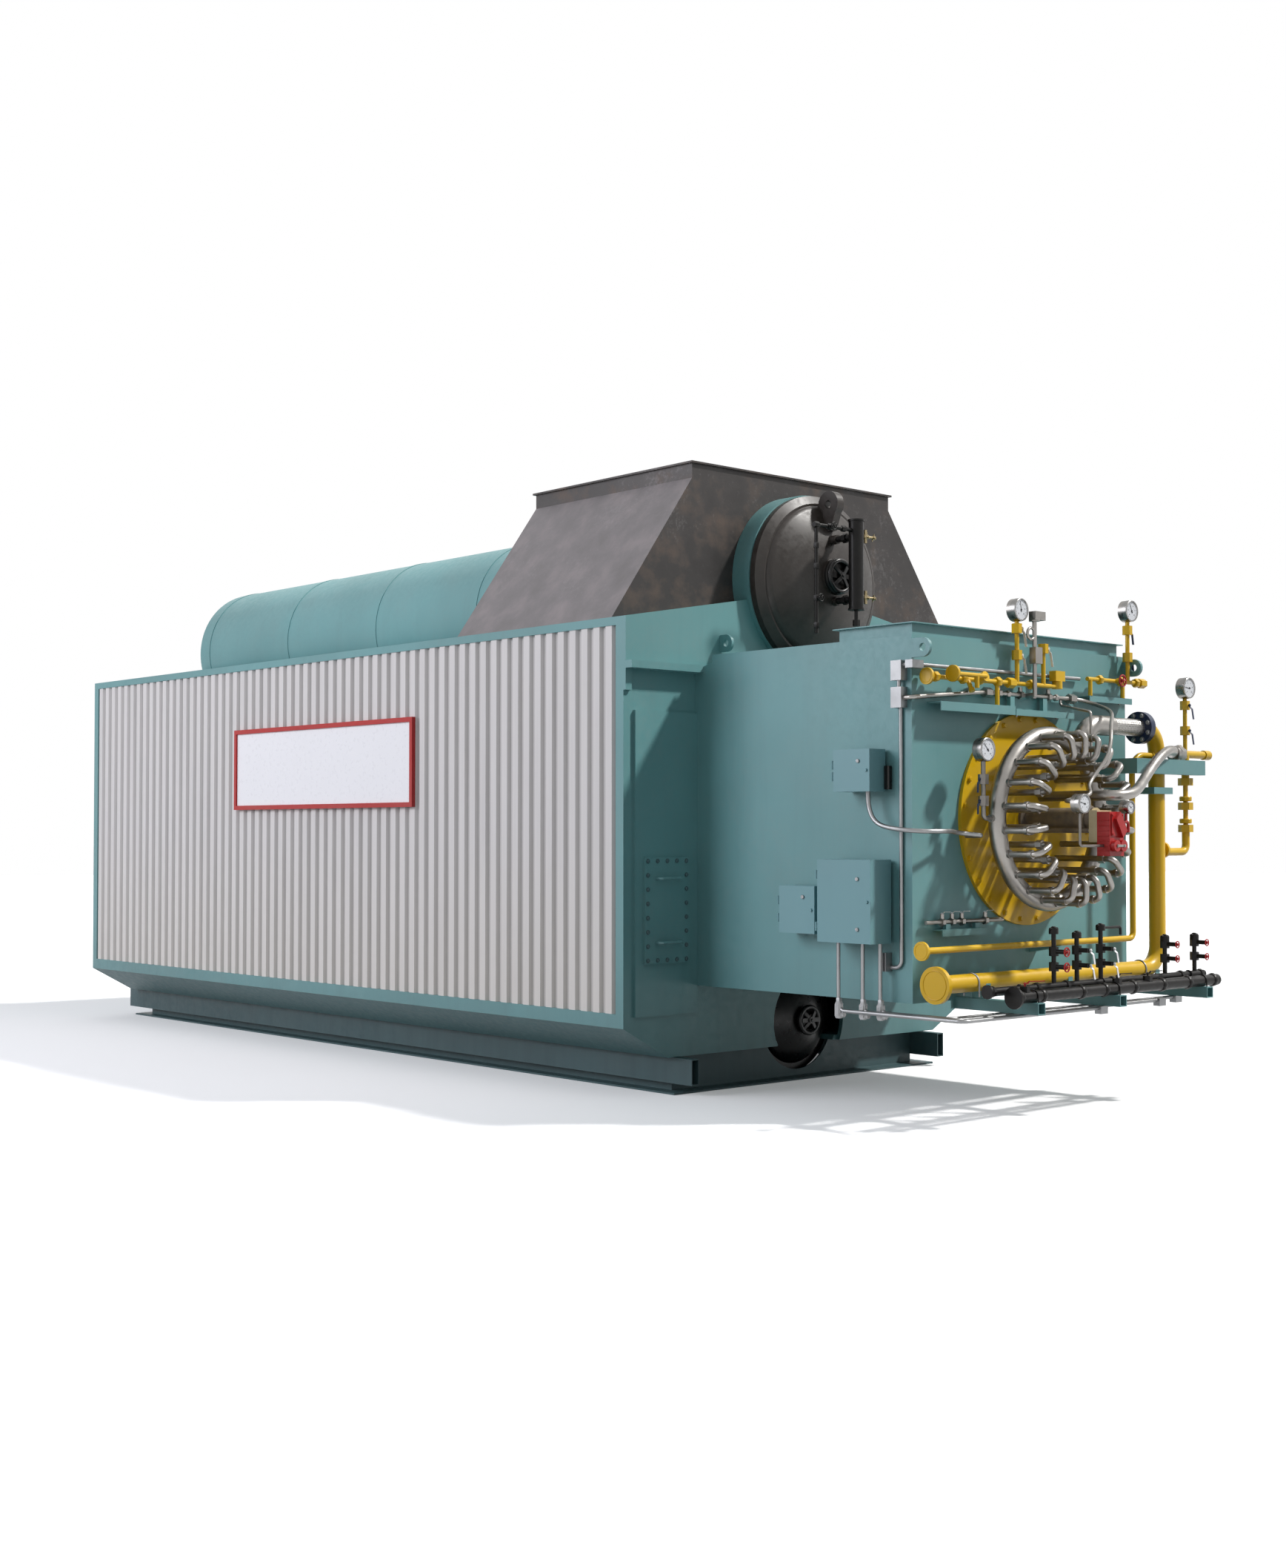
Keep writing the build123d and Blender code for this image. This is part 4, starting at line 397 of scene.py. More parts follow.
def islands(name):
    """Boxes of the separate solids in a node."""
    mesh = bmesh.new()
    mesh.from_mesh(nodes[name].data)
    bmesh.ops.remove_doubles(mesh, verts=mesh.verts, dist=1e-6)
    seen = set()
    boxes = []
    for start in mesh.verts:
        if start in seen:
            continue
        seen.add(start)
        waiting = [start]
        group = []
        while waiting:
            vert = waiting.pop()
            group.append(vert.co.copy())
            for edge in vert.link_edges:
                other = edge.other_vert(vert)
                if other not in seen:
                    seen.add(other)
                    waiting.append(other)
        low = Vector([min(point[k] for point in group) for k in range(3)])
        high = Vector([max(point[k] for point in group) for k in range(3)])
        boxes.append((low, high))
    mesh.free()
    return sorted(boxes, key=lambda box: tuple(box[0]))


def spread(first, last, count):
    """Evenly spaced values from first to last."""
    return [first + (last - first) * step / (count - 1) for step in range(count)]


class Piece:
    """Lathed, swept and bolted shapes gathered into one object."""

    SHARP_ANGLE = 38

    def __init__(self):
        self.mesh = bmesh.new()

    def skin(self, loops, closed=False):
        made = [[self.mesh.verts.new(point) for point in loop] for loop in loops]
        pairs = list(zip(made, made[1:]))
        if closed:
            pairs.append((made[-1], made[0]))
        else:
            self.mesh.faces.new(made[0][::-1])
            self.mesh.faces.new(made[-1])
        count = len(made[0])
        for first, second in pairs:
            for index in range(count):
                after = (index + 1) % count
                self.mesh.faces.new((first[index], first[after], second[after], second[index]))

    def lathe(self, place, axis, profile, count=24):
        """Turned shape; the profile gives radius and distance along the axis."""
        start = Vector(place)
        along = Vector(axis).normalized()
        self.skin([ring_path(start + along * reach, axis, radius, count) for radius, reach in profile])

    def sweep(self, path, outline, normal=None, closed=False):
        """Outline carried along a path of points."""
        points = [Vector(point) for point in path]
        last = len(points) - 1
        loops = []
        for index, point in enumerate(points):
            before = points[index - 1] if closed or index else point
            after = points[(index + 1) % len(points)] if closed or index < last else point
            along = (after - before).normalized()
            normal = Vector(normal) if normal else along.orthogonal()
            normal = (normal - along * normal.dot(along)).normalized()
            across = along.cross(normal)
            loops.append([point + normal * u + across * v for u, v in outline])
        self.skin(loops, closed)

    def collar(self, centre, axis, radius, length, lip, bevel, count):
        """Union or nut round a pipe, with both ends drawn in by lip over bevel."""
        start = Vector(centre) - Vector(axis).normalized() * (length / 2)
        neck = radius - lip
        profile = [(neck, 0), (radius, bevel), (radius, length - bevel), (neck, length)]
        self.lathe(start, axis, profile, count)

    def bolt(self, place, axis, size):
        """Hexagon head of that radius on a washer."""
        washer = size * 0.22
        top = size * 0.95
        self.lathe(place, axis, [(size * 1.3, 0), (size * 1.3, washer), (size * 0.9, washer)], 16)
        head = [(size, washer * 0.9), (size, size * 0.8), (size * 0.8, top), (size * 0.2, top)]
        self.lathe(place, axis, head, 6)

    def wheel(self, place, axis, radius, rim, spokes=5):
        """Handwheel with round spokes and a domed hub nut."""
        side, up, along = axes_of(axis)
        centre = Vector(place)
        self.sweep(ring_path(centre, axis, radius, 32), round_outline(rim, 8), along, True)
        for index in range(spokes):
            turn = 2 * math.pi * index / spokes
            out = side * math.cos(turn) + up * math.sin(turn)
            bow = centre + out * radius * 0.55 + along * rim
            self.sweep([centre, bow, centre + out * radius], round_outline(rim * 0.75, 8), along)
        hub = rim * 1.9
        dome = [(hub, -rim * 2), (hub, rim), (hub * 0.7, rim * 2), (hub * 0.2, rim * 2.3)]
        self.lathe(place, along, dome, 12)

    def lever(self, place, axis, way, length, wide):
        """Flat lever that cranks outward from its stem, with its nut."""
        start = Vector(place)
        out = Vector(axis).normalized()
        along = Vector(way).normalized()
        lift = out * wide * 0.9
        path = [
            start - along * wide * 0.6,
            start + along * wide * 0.8,
            start + along * wide * 1.6 + lift,
            start + along * (length - wide * 0.3) + lift,
            start + along * length + lift * 1.15,
        ]
        stem = wide * 0.42
        self.sweep(path, flat_outline(wide * 0.25, wide), out)
        self.lathe(start - out * wide * 1.2, out, [(stem, 0), (stem, wide * 1.1)], 12)
        self.bolt(start + out * wide * 0.1, out, stem)

    def hoop(self, centre, axis, radius, rod, foot):
        """Band over a pipe: round rod over the pipe's top, with straight legs down by foot."""
        along = Vector(axis).normalized()
        up = Vector(UP)
        side = along.cross(up)
        middle = Vector(centre)
        path = [middle + side * radius - up * foot]
        for turn in spread(0, math.pi, 13):
            path.append(middle + side * radius * math.cos(turn) + up * radius * math.sin(turn))
        path.append(middle - side * radius - up * foot)
        self.sweep(path, round_outline(rod, 8), along)

    def done(self, name, look, body="boiler"):
        bmesh.ops.recalc_face_normals(self.mesh, faces=self.mesh.faces)
        data = bpy.data.meshes.new(name)
        self.mesh.to_mesh(data)
        self.mesh.free()
        data.shade_smooth()
        data.set_sharp_from_angle(angle=math.radians(self.SHARP_ANGLE))
        data.materials.append(look)
        made = bpy.data.objects.new(name, data)
        scene.collection.objects.link(made)
        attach(made, body)


# Places in metres that several fittings share: the lines of pipes, risers and valves in the solids
TRAIN_Y = -1.790
TRAIN_Z = 2.448
RIGHT_TRAIN_Z = 2.512
RING_Y = -1.9005
FAR_RISER_X = 1.410
MAIN_PIPE_Z = 0.763
HEADER_Y = -2.250
HEADER_Z = 0.7053
SMALL_HEADER_Y = -2.160
SMALL_HEADER_Z = 0.737
VALVE_FACE_Y = -2.246
VALVE_LEVELS = (0.846, 0.930)
COCK_Z = 0.776
STEM_OUT = 0.034

# Pressure gauges: bezel, dial, graduations, needle and figures
BEZEL = 0.008
DIAL_START = math.radians(225)
DIAL_SWEEP = math.radians(270)
TICKS = 50
MARK_LIFT = 0.0013
FIGURE_LIFT = 0.0014
NEEDLE_LIFT = 0.0030
READINGS = (0.34, 0.22, 0.46, 0.30, 0.41, 0.18)


def dial_point(face, share, reach, lift):
    """Point on a dial, at a share of its sweep and a reach from its centre."""
    turn = DIAL_START - DIAL_SWEEP * share
    return face + Vector((math.cos(turn), 0, math.sin(turn))) * reach + Vector(FRONT) * lift


bezels = Piece()
dials = Piece()
marks = Piece()
needles = Piece()
figures = []
for (low, high), reading in zip(islands("pressure_gauges"), READINGS):
    middle = (low + high) / 2
    radius = (high.x - low.x) / 2
    face = Vector((middle.x, low.y, middle.z))
    inner = radius - BEZEL
    rim = [
        (radius * 1.02, -0.030),
        (radius * 1.02, -0.004),
        (radius * 0.99, 0.004),
        (radius * 0.95, 0.006),
        (inner * 1.01, 0.005),
        (inner * 0.97, 0.0006),
    ]
    bezels.lathe(face, FRONT, rim, 40)
    dials.lathe(face, FRONT, [(inner, -0.001), (inner * 0.98, 0.0012)], 40)
    for tick in range(TICKS + 1):
        share = tick / TICKS
        inside, wide = (0.76, 0.028) if tick % 5 == 0 else (0.82, 0.014)
        ends = [dial_point(face, share, inner * reach, MARK_LIFT) for reach in (inside, 0.9)]
        marks.sweep(ends, flat_outline(0.0006, inner * wide), FRONT)
        if tick % 10 == 0:
            place = dial_point(face, share, inner * 0.58, FIGURE_LIFT)
            figures.append((place, inner * 0.2, str(tick // 5)))
    tail, pivot, tip = [dial_point(face, reading, inner * reach, NEEDLE_LIFT) for reach in (-0.22, 0, 0.84)]
    needles.sweep([tail, pivot], flat_outline(0.001, inner * 0.10), FRONT)
    needles.sweep([pivot, tip], flat_outline(0.001, inner * 0.045), FRONT)
    needles.lathe(face, FRONT, [(inner * 0.09, 0.0012), (inner * 0.09, 0.0042), (inner * 0.05, 0.0048)], 16)
bezels.done("gauge_bezels", gauge_rim)
dials.done("gauge_dials", dial_white)
marks.done("gauge_marks", black)
needles.done("gauge_needles", black)
for index, (place, size, word) in enumerate(figures):
    text = bpy.data.curves.new("figure", "FONT")
    text.body = word
    text.size = size
    text.align_x = "CENTER"
    text.align_y = "CENTER"
    text.extrude = 0.0002
    text.materials.append(black)
    figure = bpy.data.objects.new(f"gauge_figure_{index}", text)
    figure.location = place
    figure.rotation_euler = (math.radians(90), 0, 0)
    scene.collection.objects.link(figure)
    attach(figure, "boiler")

# Bolts round the burner plate and the joint flanges
PLATE_BOLTS = 24
PLATE_BOLT = 0.014
PLATE_INSET = 0.034
plate_low, plate_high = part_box("burner_plate")
burner_z = (plate_low.z + plate_high.z) / 2
plate_reach = (plate_high.x - plate_low.x) / 2 - PLATE_INSET
plate_bolts = Piece()
for index in range(PLATE_BOLTS):
    turn = 2 * math.pi * (index + 0.5) / PLATE_BOLTS
    place = (plate_reach * math.cos(turn), plate_low.y, burner_z + plate_reach * math.sin(turn))
    plate_bolts.bolt(place, FRONT, PLATE_BOLT)
plate_bolts.done("burner_plate_bolts", yellow)

FLANGE_BOLTS = 8
FLANGE_INSET = 0.020
FLANGE_BOLT = 0.012
flange_low, flange_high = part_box("joint_flanges")
flange_middle = (flange_low + flange_high) / 2
flange_reach = (flange_high.y - flange_low.y) / 2 - FLANGE_INSET
flange_bolts = Piece()
for index in range(FLANGE_BOLTS):
    turn = 2 * math.pi * (index + 0.5) / FLANGE_BOLTS
    y = flange_middle.y + flange_reach * math.cos(turn)
    z = flange_middle.z + flange_reach * math.sin(turn)
    flange_bolts.bolt((flange_low.x, y, z), LEFT, FLANGE_BOLT)
    flange_bolts.bolt((flange_high.x, y, z), RIGHT, FLANGE_BOLT)
flange_bolts.done("flange_bolts", galvanised)

# Valve levers and handwheels, each set by the place of its valve
TRAIN_VALVES = ((-0.150, 2.612), (-0.150, 2.766), (0.100, 2.664))
HEADER_LEVER_X = (-0.106, 0.122)
MANIFOLD_LEVER_X = (-0.799, -0.714, -0.628, -0.420)
MANIFOLD_Y = -1.762
MANIFOLD_TOP = 1.141
pale_levers = Piece()
for x, z in TRAIN_VALVES:
    place = (x + STEM_OUT, TRAIN_Y - 0.012, z)
    pale_levers.lever(place, RIGHT, way=(0.10, -0.10, -1), length=0.105, wide=0.016)
for x in HEADER_LEVER_X:
    for z in VALVE_LEVELS:
        place = (x + 0.012, VALVE_FACE_Y, z)
        pale_levers.lever(place, FRONT, way=(0.25, 0, -1), length=0.080, wide=0.014)
for x in MANIFOLD_LEVER_X:
    pale_levers.lever((x, MANIFOLD_Y, MANIFOLD_TOP), UP, way=(0.3, -1, 0), length=0.050, wide=0.010)
pale_levers.done("pale_levers", white)

FAR_RISER_VALVES = (2.226, 2.384)
RIGHT_RISER_X = 0.955
RIGHT_RISER_VALVES = (2.666, 2.832)
RING_GAUGE_X = -0.605
RING_GAUGE_VALVES = (1.765, 1.885)
blue_levers = Piece()
for z in FAR_RISER_VALVES:
    place = (FAR_RISER_X, RING_Y - STEM_OUT, z)
    blue_levers.lever(place, FRONT, way=(0.25, 0, -1), length=0.090, wide=0.015)
for z in RIGHT_RISER_VALVES:
    place = (RIGHT_RISER_X + STEM_OUT, TRAIN_Y, z)
    blue_levers.lever(place, RIGHT, way=(0.10, -0.05, -1), length=0.085, wide=0.014)
for z in RING_GAUGE_VALVES:
    place = (RING_GAUGE_X - STEM_OUT, RING_Y, z)
    blue_levers.lever(place, LEFT, way=(-0.10, -0.05, -1), length=0.075, wide=0.013)
blue_levers.done("blue_levers", navy)

LARGE_WHEEL_X = -0.320
SMALL_WHEEL_X = (0.770, 1.085)
TRAIN_WHEEL = (0.820, -1.846, RIGHT_TRAIN_Z)
RED_COCK_X = -0.700
red_handles = Piece()
for z in VALVE_LEVELS:
    red_handles.wheel((LARGE_WHEEL_X, VALVE_FACE_Y - 0.002, z), FRONT, radius=0.024, rim=0.004)
    for x in SMALL_WHEEL_X:
        red_handles.wheel((x, VALVE_FACE_Y, z), FRONT, radius=0.019, rim=0.0035, spokes=4)
red_handles.wheel(TRAIN_WHEEL, FRONT, radius=0.034, rim=0.005)
red_handles.lever((RED_COCK_X, HEADER_Y, COCK_Z), UP, way=(0.8, -0.5, 0), length=0.110, wide=0.015)
red_handles.done("red_handles", red)

BAR_HALF = 0.034
BAR_HUB = [(0.016, 0), (0.016, 0.018), (0.010, 0.024)]
BAR_HANDLES = ((-0.320, 1.057), (-0.106, 1.026), (0.122, 1.061), (0.770, 0.976), (1.085, 0.974))
BLACK_COCK_X = (0.151, 0.454)
black_handles = Piece()
for x, top in BAR_HANDLES:
    bar = [(x - BAR_HALF, SMALL_HEADER_Y, top), (x + BAR_HALF, SMALL_HEADER_Y, top)]
    black_handles.sweep(bar, round_outline(0.006), UP)
    black_handles.lathe((x, SMALL_HEADER_Y, top - 0.012), UP, BAR_HUB, 16)
for x in BLACK_COCK_X:
    black_handles.lever((x, HEADER_Y, COCK_Z), UP, way=(0.9, -0.3, 0), length=0.100, wide=0.014)
black_handles.done("black_handles", black)

# Unions on the yellow trains, raised rings on the blind discs, a drain cock, a weld boss and riser collars
BLIND_DISCS = (
    (-0.961, TRAIN_Y, TRAIN_Z, 0.047),
    (-0.818, -1.856, 2.466, 0.047),
    (-1.144, RING_Y, 0.952, 0.052),
    (-1.033, RING_Y, MAIN_PIPE_Z, 0.102),
)
TRAIN_UNION = dict(radius=0.029, lip=0.004, bevel=0.005, count=6)
TRAIN_UNION_X = (-0.880, -0.640, -0.500, -0.330, -0.020)
RIGHT_UNION_X = (0.660, 0.880, 1.040)
DRAIN_COCK = [(0.013, 0), (0.013, 0.050), (0.018, 0.052), (0.018, 0.070)]
DRAIN_COCK_PLACE = (-0.610, TRAIN_Y - 0.010, TRAIN_Z - 0.008)
WELD_BOSS = [(0.050, -0.006), (0.050, 0.012), (0.036, 0.026)]
WELD_BOSS_PLACE = (1.150, RING_Y, 1.482)
RISER_COLLAR = dict(radius=0.038, length=0.030, lip=0.004, bevel=0.005, count=20)
RISER_COLLAR_Z = (1.661, 1.800)
train_unions = Piece()
for x in TRAIN_UNION_X:
    train_unions.collar((x, TRAIN_Y, TRAIN_Z), RIGHT, length=0.036, **TRAIN_UNION)
for x in RIGHT_UNION_X:
    train_unions.collar((x, TRAIN_Y, RIGHT_TRAIN_Z), RIGHT, length=0.032, **TRAIN_UNION)
for x, y, z, radius in BLIND_DISCS:
    ring = ring_path((x, y, z), LEFT, radius * 0.78)
    train_unions.sweep(ring, round_outline(radius * 0.035, 8), LEFT, True)
train_unions.lathe(DRAIN_COCK_PLACE, (0, -0.5, -1), DRAIN_COCK, 8)
train_unions.lathe(WELD_BOSS_PLACE, RIGHT, WELD_BOSS)
for z in RISER_COLLAR_Z:
    train_unions.collar((FAR_RISER_X, RING_Y, z), UP, **RISER_COLLAR)
train_unions.done("train_unions", yellow)

# Bright nuts on the tube line and the hose end
TUBE_NUT = dict(radius=0.021, length=0.028, lip=0.004, bevel=0.004, count=6)
TUBE_NUT_X = (-0.560, -0.200, 0.040, 0.260)
TUBE_Y = -1.760
TUBE_Z = 2.386
HOSE_Z = 2.078
HOSE_NUT_X = 1.325
HOSE_SLEEVE_X = 1.286
bright_nuts = Piece()
for x in TUBE_NUT_X:
    bright_nuts.collar((x, TUBE_Y, TUBE_Z), RIGHT, **TUBE_NUT)
hose_nut = dict(radius=0.058, length=0.054, lip=0.008, bevel=0.008, count=6)
bright_nuts.collar((HOSE_NUT_X, RING_Y, HOSE_Z), RIGHT, **hose_nut)
hose_sleeve = dict(radius=0.050, length=0.024, lip=0.004, bevel=0.004, count=28)
bright_nuts.collar((HOSE_SLEEVE_X, RING_Y, HOSE_Z), RIGHT, **hose_sleeve)
bright_nuts.done("bright_nuts", stainless)

# Bolts that hang below the pipe shelves: the height of each shelf and the places along it
SHELF_BOLT = 0.013
SHELF_STUD = [(0.007, -0.002), (0.007, 0.030), (0.005, 0.033)]
SHELF_BOLT_Y = -1.770
SHELF_BOLTS = {
    2.306: (-0.780, -0.560, -0.340),
    2.290: (-0.130, 0.250),
    2.405: (0.640, 0.890),
}
shelf_bolts = Piece()
for z, places in SHELF_BOLTS.items():
    for x in places:
        shelf_bolts.lathe((x, SHELF_BOLT_Y, z), DOWN, SHELF_STUD, 12)
        shelf_bolts.bolt((x, SHELF_BOLT_Y, z), DOWN, SHELF_BOLT)
shelf_bolts.done("shelf_bolts", galvanised)

# Bands and U-bolts that hold the pipes
PIPE_BAND_X = (-0.715, 0.354, 0.890)
HEADER_BAND_X = (-0.631, 0.127, 1.016)
bands = Piece()
for x in PIPE_BAND_X:
    bands.hoop((x, RING_Y, MAIN_PIPE_Z), RIGHT, radius=0.053, rod=0.005, foot=0.075)
bands.done("pipe_bands", galvanised)
header_bands = Piece()
for x in HEADER_BAND_X:
    header_bands.hoop((x, HEADER_Y, HEADER_Z), RIGHT, radius=0.036, rod=0.004, foot=0.040)
    header_bands.hoop((x, SMALL_HEADER_Y, SMALL_HEADER_Z), RIGHT, radius=0.025, rod=0.0035, foot=0.062)
header_bands.done("header_bands", black)

# Latches on the three enclosure doors, as shares of the door from its front edge and its foot
LATCH = [(0.011, -0.004), (0.011, 0.003), (0.009, 0.005), (0.005, 0.005)]
LATCH_BED = 0.004
LATCH_TOP = 0.005
SLOT_HALF = Vector((0, 0, 0.006))
door_latches = {
    "main_box_door": ((0.23, 0.77), (0.23, 0.17)),
    "small_box_door": ((0.30, 0.77),),
    "upper_box_door": ((0.29, 0.72),),
}
for name, shares in door_latches.items():
    low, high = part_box(name)
    latches = Piece()
    for across, rise in shares:
        y = low.y + (high.y - low.y) * across
        z = low.z + (high.z - low.z) * rise
        place = Vector((low.x + LATCH_BED, y, z))
        latches.lathe(place, LEFT, LATCH)
        tip = place + Vector(LEFT) * LATCH_TOP
        latches.sweep([tip - SLOT_HALF, tip + SLOT_HALF], flat_outline(0.003, 0.003), LEFT)
    latches.done(f"{name}_latches", galvanised, name)

# Mounting block on the windbox side, against the upper enclosure
STANDOFF = 0.036
STANDOFF_GAP = 0.0002
STANDOFF_RISE = (0.012, 0.142)
box_low, box_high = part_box("upper_box")
standoff_x = box_high.x - STANDOFF / 2
standoff_y = box_low.y - STANDOFF / 2 - STANDOFF_GAP
standoff = Piece()
standoff_ends = [(standoff_x, standoff_y, box_low.z + rise) for rise in STANDOFF_RISE]
standoff.sweep(standoff_ends, flat_outline(STANDOFF, STANDOFF), LEFT)
standoff.done("upper_box_standoff", drum_black)

# Bolts round the two access doors on the front wall
DOOR_FACE = -0.036
DOOR_BOLT = 0.011
DOOR_INSET = 0.022
door_bolts = Piece()
for low, high in islands("access_doors"):
    left = low.x + DOOR_INSET
    right = high.x - DOOR_INSET
    foot = low.z + DOOR_INSET
    top = high.z - DOOR_INSET
    for z in spread(foot, top, 8):
        door_bolts.bolt((left, DOOR_FACE, z), FRONT, DOOR_BOLT)
        door_bolts.bolt((right, DOOR_FACE, z), FRONT, DOOR_BOLT)
    for x in spread(left, right, 5)[1:-1]:
        door_bolts.bolt((x, DOOR_FACE, foot), FRONT, DOOR_BOLT)
        door_bolts.bolt((x, DOOR_FACE, top), FRONT, DOOR_BOLT)
# The bolts take the darkened teal as painted shade, so they stand out in the wall's shade
door_bolts.done("access_door_bolts", painted_shade_teal)

# Conduit bodies at the feet of the drops under the main box
CONDUIT_RADIUS = 0.013
DROP_TOP = 1.0
HUB = [(0.018, 0), (0.018, 0.018), (0.015, 0.022)]
SIDE_HUB = [(0.018, 0), (0.018, 0.016), (0.015, 0.020)]
SCREW = [(0.004, 0), (0.004, 0.0015), (0.002, 0.002)]
bodies = Piece()
drops = [box for box in islands("conduits") if box[1].z < DROP_TOP]
for low, high in drops:
    x = low.x + CONDUIT_RADIUS
    y = high.y - CONDUIT_RADIUS
    foot = low.z + CONDUIT_RADIUS
    shell = [(x, y, foot + rise) for rise in (-0.022, -0.016, 0.062, 0.070)]
    bodies.sweep(shell[:2], flat_outline(0.030, 0.034), RIGHT)
    bodies.sweep(shell[1:3], flat_outline(0.036, 0.042), RIGHT)
    bodies.sweep(shell[2:], flat_outline(0.030, 0.034), RIGHT)
    bodies.lathe(shell[3], UP, HUB, 6)
    cover = [(x - 0.018, y, foot + rise) for rise in (-0.010, 0.056)]
    bodies.sweep(cover, flat_outline(0.005, 0.030), RIGHT)
    for rise in (-0.002, 0.048):
        bodies.lathe((x - 0.0205, y, foot + rise), LEFT, SCREW, 12)
    bodies.lathe((x, y - 0.021, foot), FRONT, SIDE_HUB, 6)
bodies.done("conduit_bodies", galvanised)

# Manways on the drum heads: rolled ring, yoke bars with a stud and nut
manway_low, manway_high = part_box("drum_manway")
manway_middle = (manway_low + manway_high) / 2
upper_manway = Vector((manway_middle.x, manway_low.y + 0.024, manway_middle.z))
lower_manway = Vector((0, -0.001, 0.375))
YOKE_BOW = Vector(FRONT) * 0.020
YOKE_NUT = [(0.024, 0.010), (0.024, 0.026), (0.012, 0.026)]
YOKE_STUD = [(0.010, 0), (0.010, 0.030), (0.007, 0.033)]
manways = Piece()
for place, radius in ((upper_manway, 0.100), (lower_manway, 0.085)):
    manways.sweep(ring_path(place, FRONT, radius), round_outline(0.015, 12), FRONT, True)
    for turn in (math.radians(45), math.radians(135)):
        way = Vector((math.cos(turn), 0, math.sin(turn))) * radius
        manways.sweep([place - way, place + YOKE_BOW, place + way], flat_outline(0.014, 0.026), FRONT)
    manways.lathe(place, FRONT, YOKE_NUT, 6)
    manways.lathe(place, FRONT, YOKE_STUD, 16)
manways.done("manway_yokes", drum_black)

# Seal rings in the end beams' cut-outs round the mud drum
SEAL_WIDTH = 0.056
SEAL_LAP = 0.008
SEAL_Y = (0.150, 6.752)
shell_low, shell_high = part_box("mud_drum_shell")
drum_z = (shell_low.z + shell_high.z) / 2
seal_radius = (shell_high.x - shell_low.x) / 2 + SEAL_WIDTH / 2 - SEAL_LAP
seals = Piece()
for y in SEAL_Y:
    path = ring_path((0, y, drum_z), FRONT, seal_radius, 64)
    seals.sweep(path, flat_outline(0.010, SEAL_WIDTH), FRONT, True)
seals.done("mud_drum_seals", drum_black)

# Cross handles on the water column's gauge cocks
COCK_NUT = [(0.012, -0.008), (0.012, 0.008), (0.008, 0.011)]
cock_handles = Piece()
for low, high in islands("gauge_cocks"):
    middle = (low + high) / 2
    for x, reach in ((low.x + 0.045, 0.030), (high.x - 0.016, 0.024)):
        centre = Vector((x, middle.y, middle.z))
        for turn in (math.radians(20), math.radians(110)):
            way = Vector((0, math.cos(turn), math.sin(turn))) * reach
            cock_handles.sweep([centre - way, centre + way], round_outline(0.0045, 8), RIGHT)
        cock_handles.lathe(centre, RIGHT, COCK_NUT, 6)
cock_handles.done("cock_handles", brass)

# Unions and small valves on the water column's pipes
COLUMN_Y = -0.420
VENT_TOP = 3.510
VENT_VALVE_X = -0.250
DRAIN_VALVE_Z = 3.050
VALVE_STEM = [(0.011, 0.010), (0.011, 0.026), (0.007, 0.028), (0.007, 0.040)]
WHEEL_OUT = Vector(FRONT) * 0.040
VENT_UNION = dict(radius=0.020, length=0.040, lip=0.002, bevel=0.006, count=6)
DRAIN_UNION = dict(radius=0.019, length=0.036, lip=0.002, bevel=0.006, count=6)
vent_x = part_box("water_column")[0].x + 0.012
column_fittings = Piece()
for x in (vent_x, VENT_VALVE_X, -0.120):
    column_fittings.collar((x, COLUMN_Y, VENT_TOP), RIGHT, **VENT_UNION)
for z in (3.380, 3.250, DRAIN_VALVE_Z, 2.880):
    column_fittings.collar((vent_x, COLUMN_Y, z), UP, **DRAIN_UNION)
for x, z in ((VENT_VALVE_X, VENT_TOP), (vent_x, DRAIN_VALVE_Z)):
    place = Vector((x, COLUMN_Y, z))
    column_fittings.wheel(place + WHEEL_OUT, FRONT, radius=0.022, rim=0.004, spokes=4)
    column_fittings.lathe(place, FRONT, VALVE_STEM, 12)
column_fittings.done("column_fittings", black)

# Collars and unions along the drain headers
HEADER_UNION = dict(radius=0.041, length=0.036, lip=0.005, bevel=0.006, count=8)
HEADER_UNION_X = (-0.755, -0.560, -0.200, 0.020, 0.300, 0.590, 0.860, 1.130)
SMALL_UNION = dict(radius=0.030, length=0.030, lip=0.005, bevel=0.005, count=8)
SMALL_UNION_X = (-0.870, -0.480, -0.210, 0.230, 0.560, 0.930, 1.140)
header_unions = Piece()
for x in HEADER_UNION_X:
    header_unions.collar((x, HEADER_Y, HEADER_Z), RIGHT, **HEADER_UNION)
for x in SMALL_UNION_X:
    header_unions.collar((x, SMALL_HEADER_Y, SMALL_HEADER_Z), RIGHT, **SMALL_UNION)
header_unions.done("header_unions", black)

# Actuator: front cover with its screws, cooling fins and the rod between the two drums
COVER_X = -0.0025
COVER_SCREW_OUT = 0.046
COVER_SCREW_IN = 0.010
COVER_SCREW = 0.0055
FINS = 7
FIN_STEP = 0.028
FIN_RIGHT = 0.065
LINK_X = (-0.032, 0.0325)
act_low, act_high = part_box("burner_actuator")
cover_y = act_low.y + 0.022
cover_foot = act_low.z + 0.112
cover_top = act_high.z - 0.010
actuator = Piece()
cover = [(COVER_X, cover_y, cover_foot), (COVER_X, cover_y, cover_top)]
actuator.sweep(cover, flat_outline(0.007, 0.112), FRONT)
for x in (COVER_X - COVER_SCREW_OUT, COVER_X + COVER_SCREW_OUT):
    for z in (cover_foot + COVER_SCREW_IN, cover_top - COVER_SCREW_IN):
        actuator.bolt((x, cover_y - 0.0034, z), FRONT, COVER_SCREW)
for step in range(FINS):
    z = act_low.z + 0.030 + FIN_STEP * step
    for x in (act_low.x, FIN_RIGHT):
        fin = [(x, cover_y + 0.008, z), (x, cover_y + 0.078, z)]
        actuator.sweep(fin, flat_outline(0.008, 0.006), RIGHT)
actuator.done("actuator_cover", red)
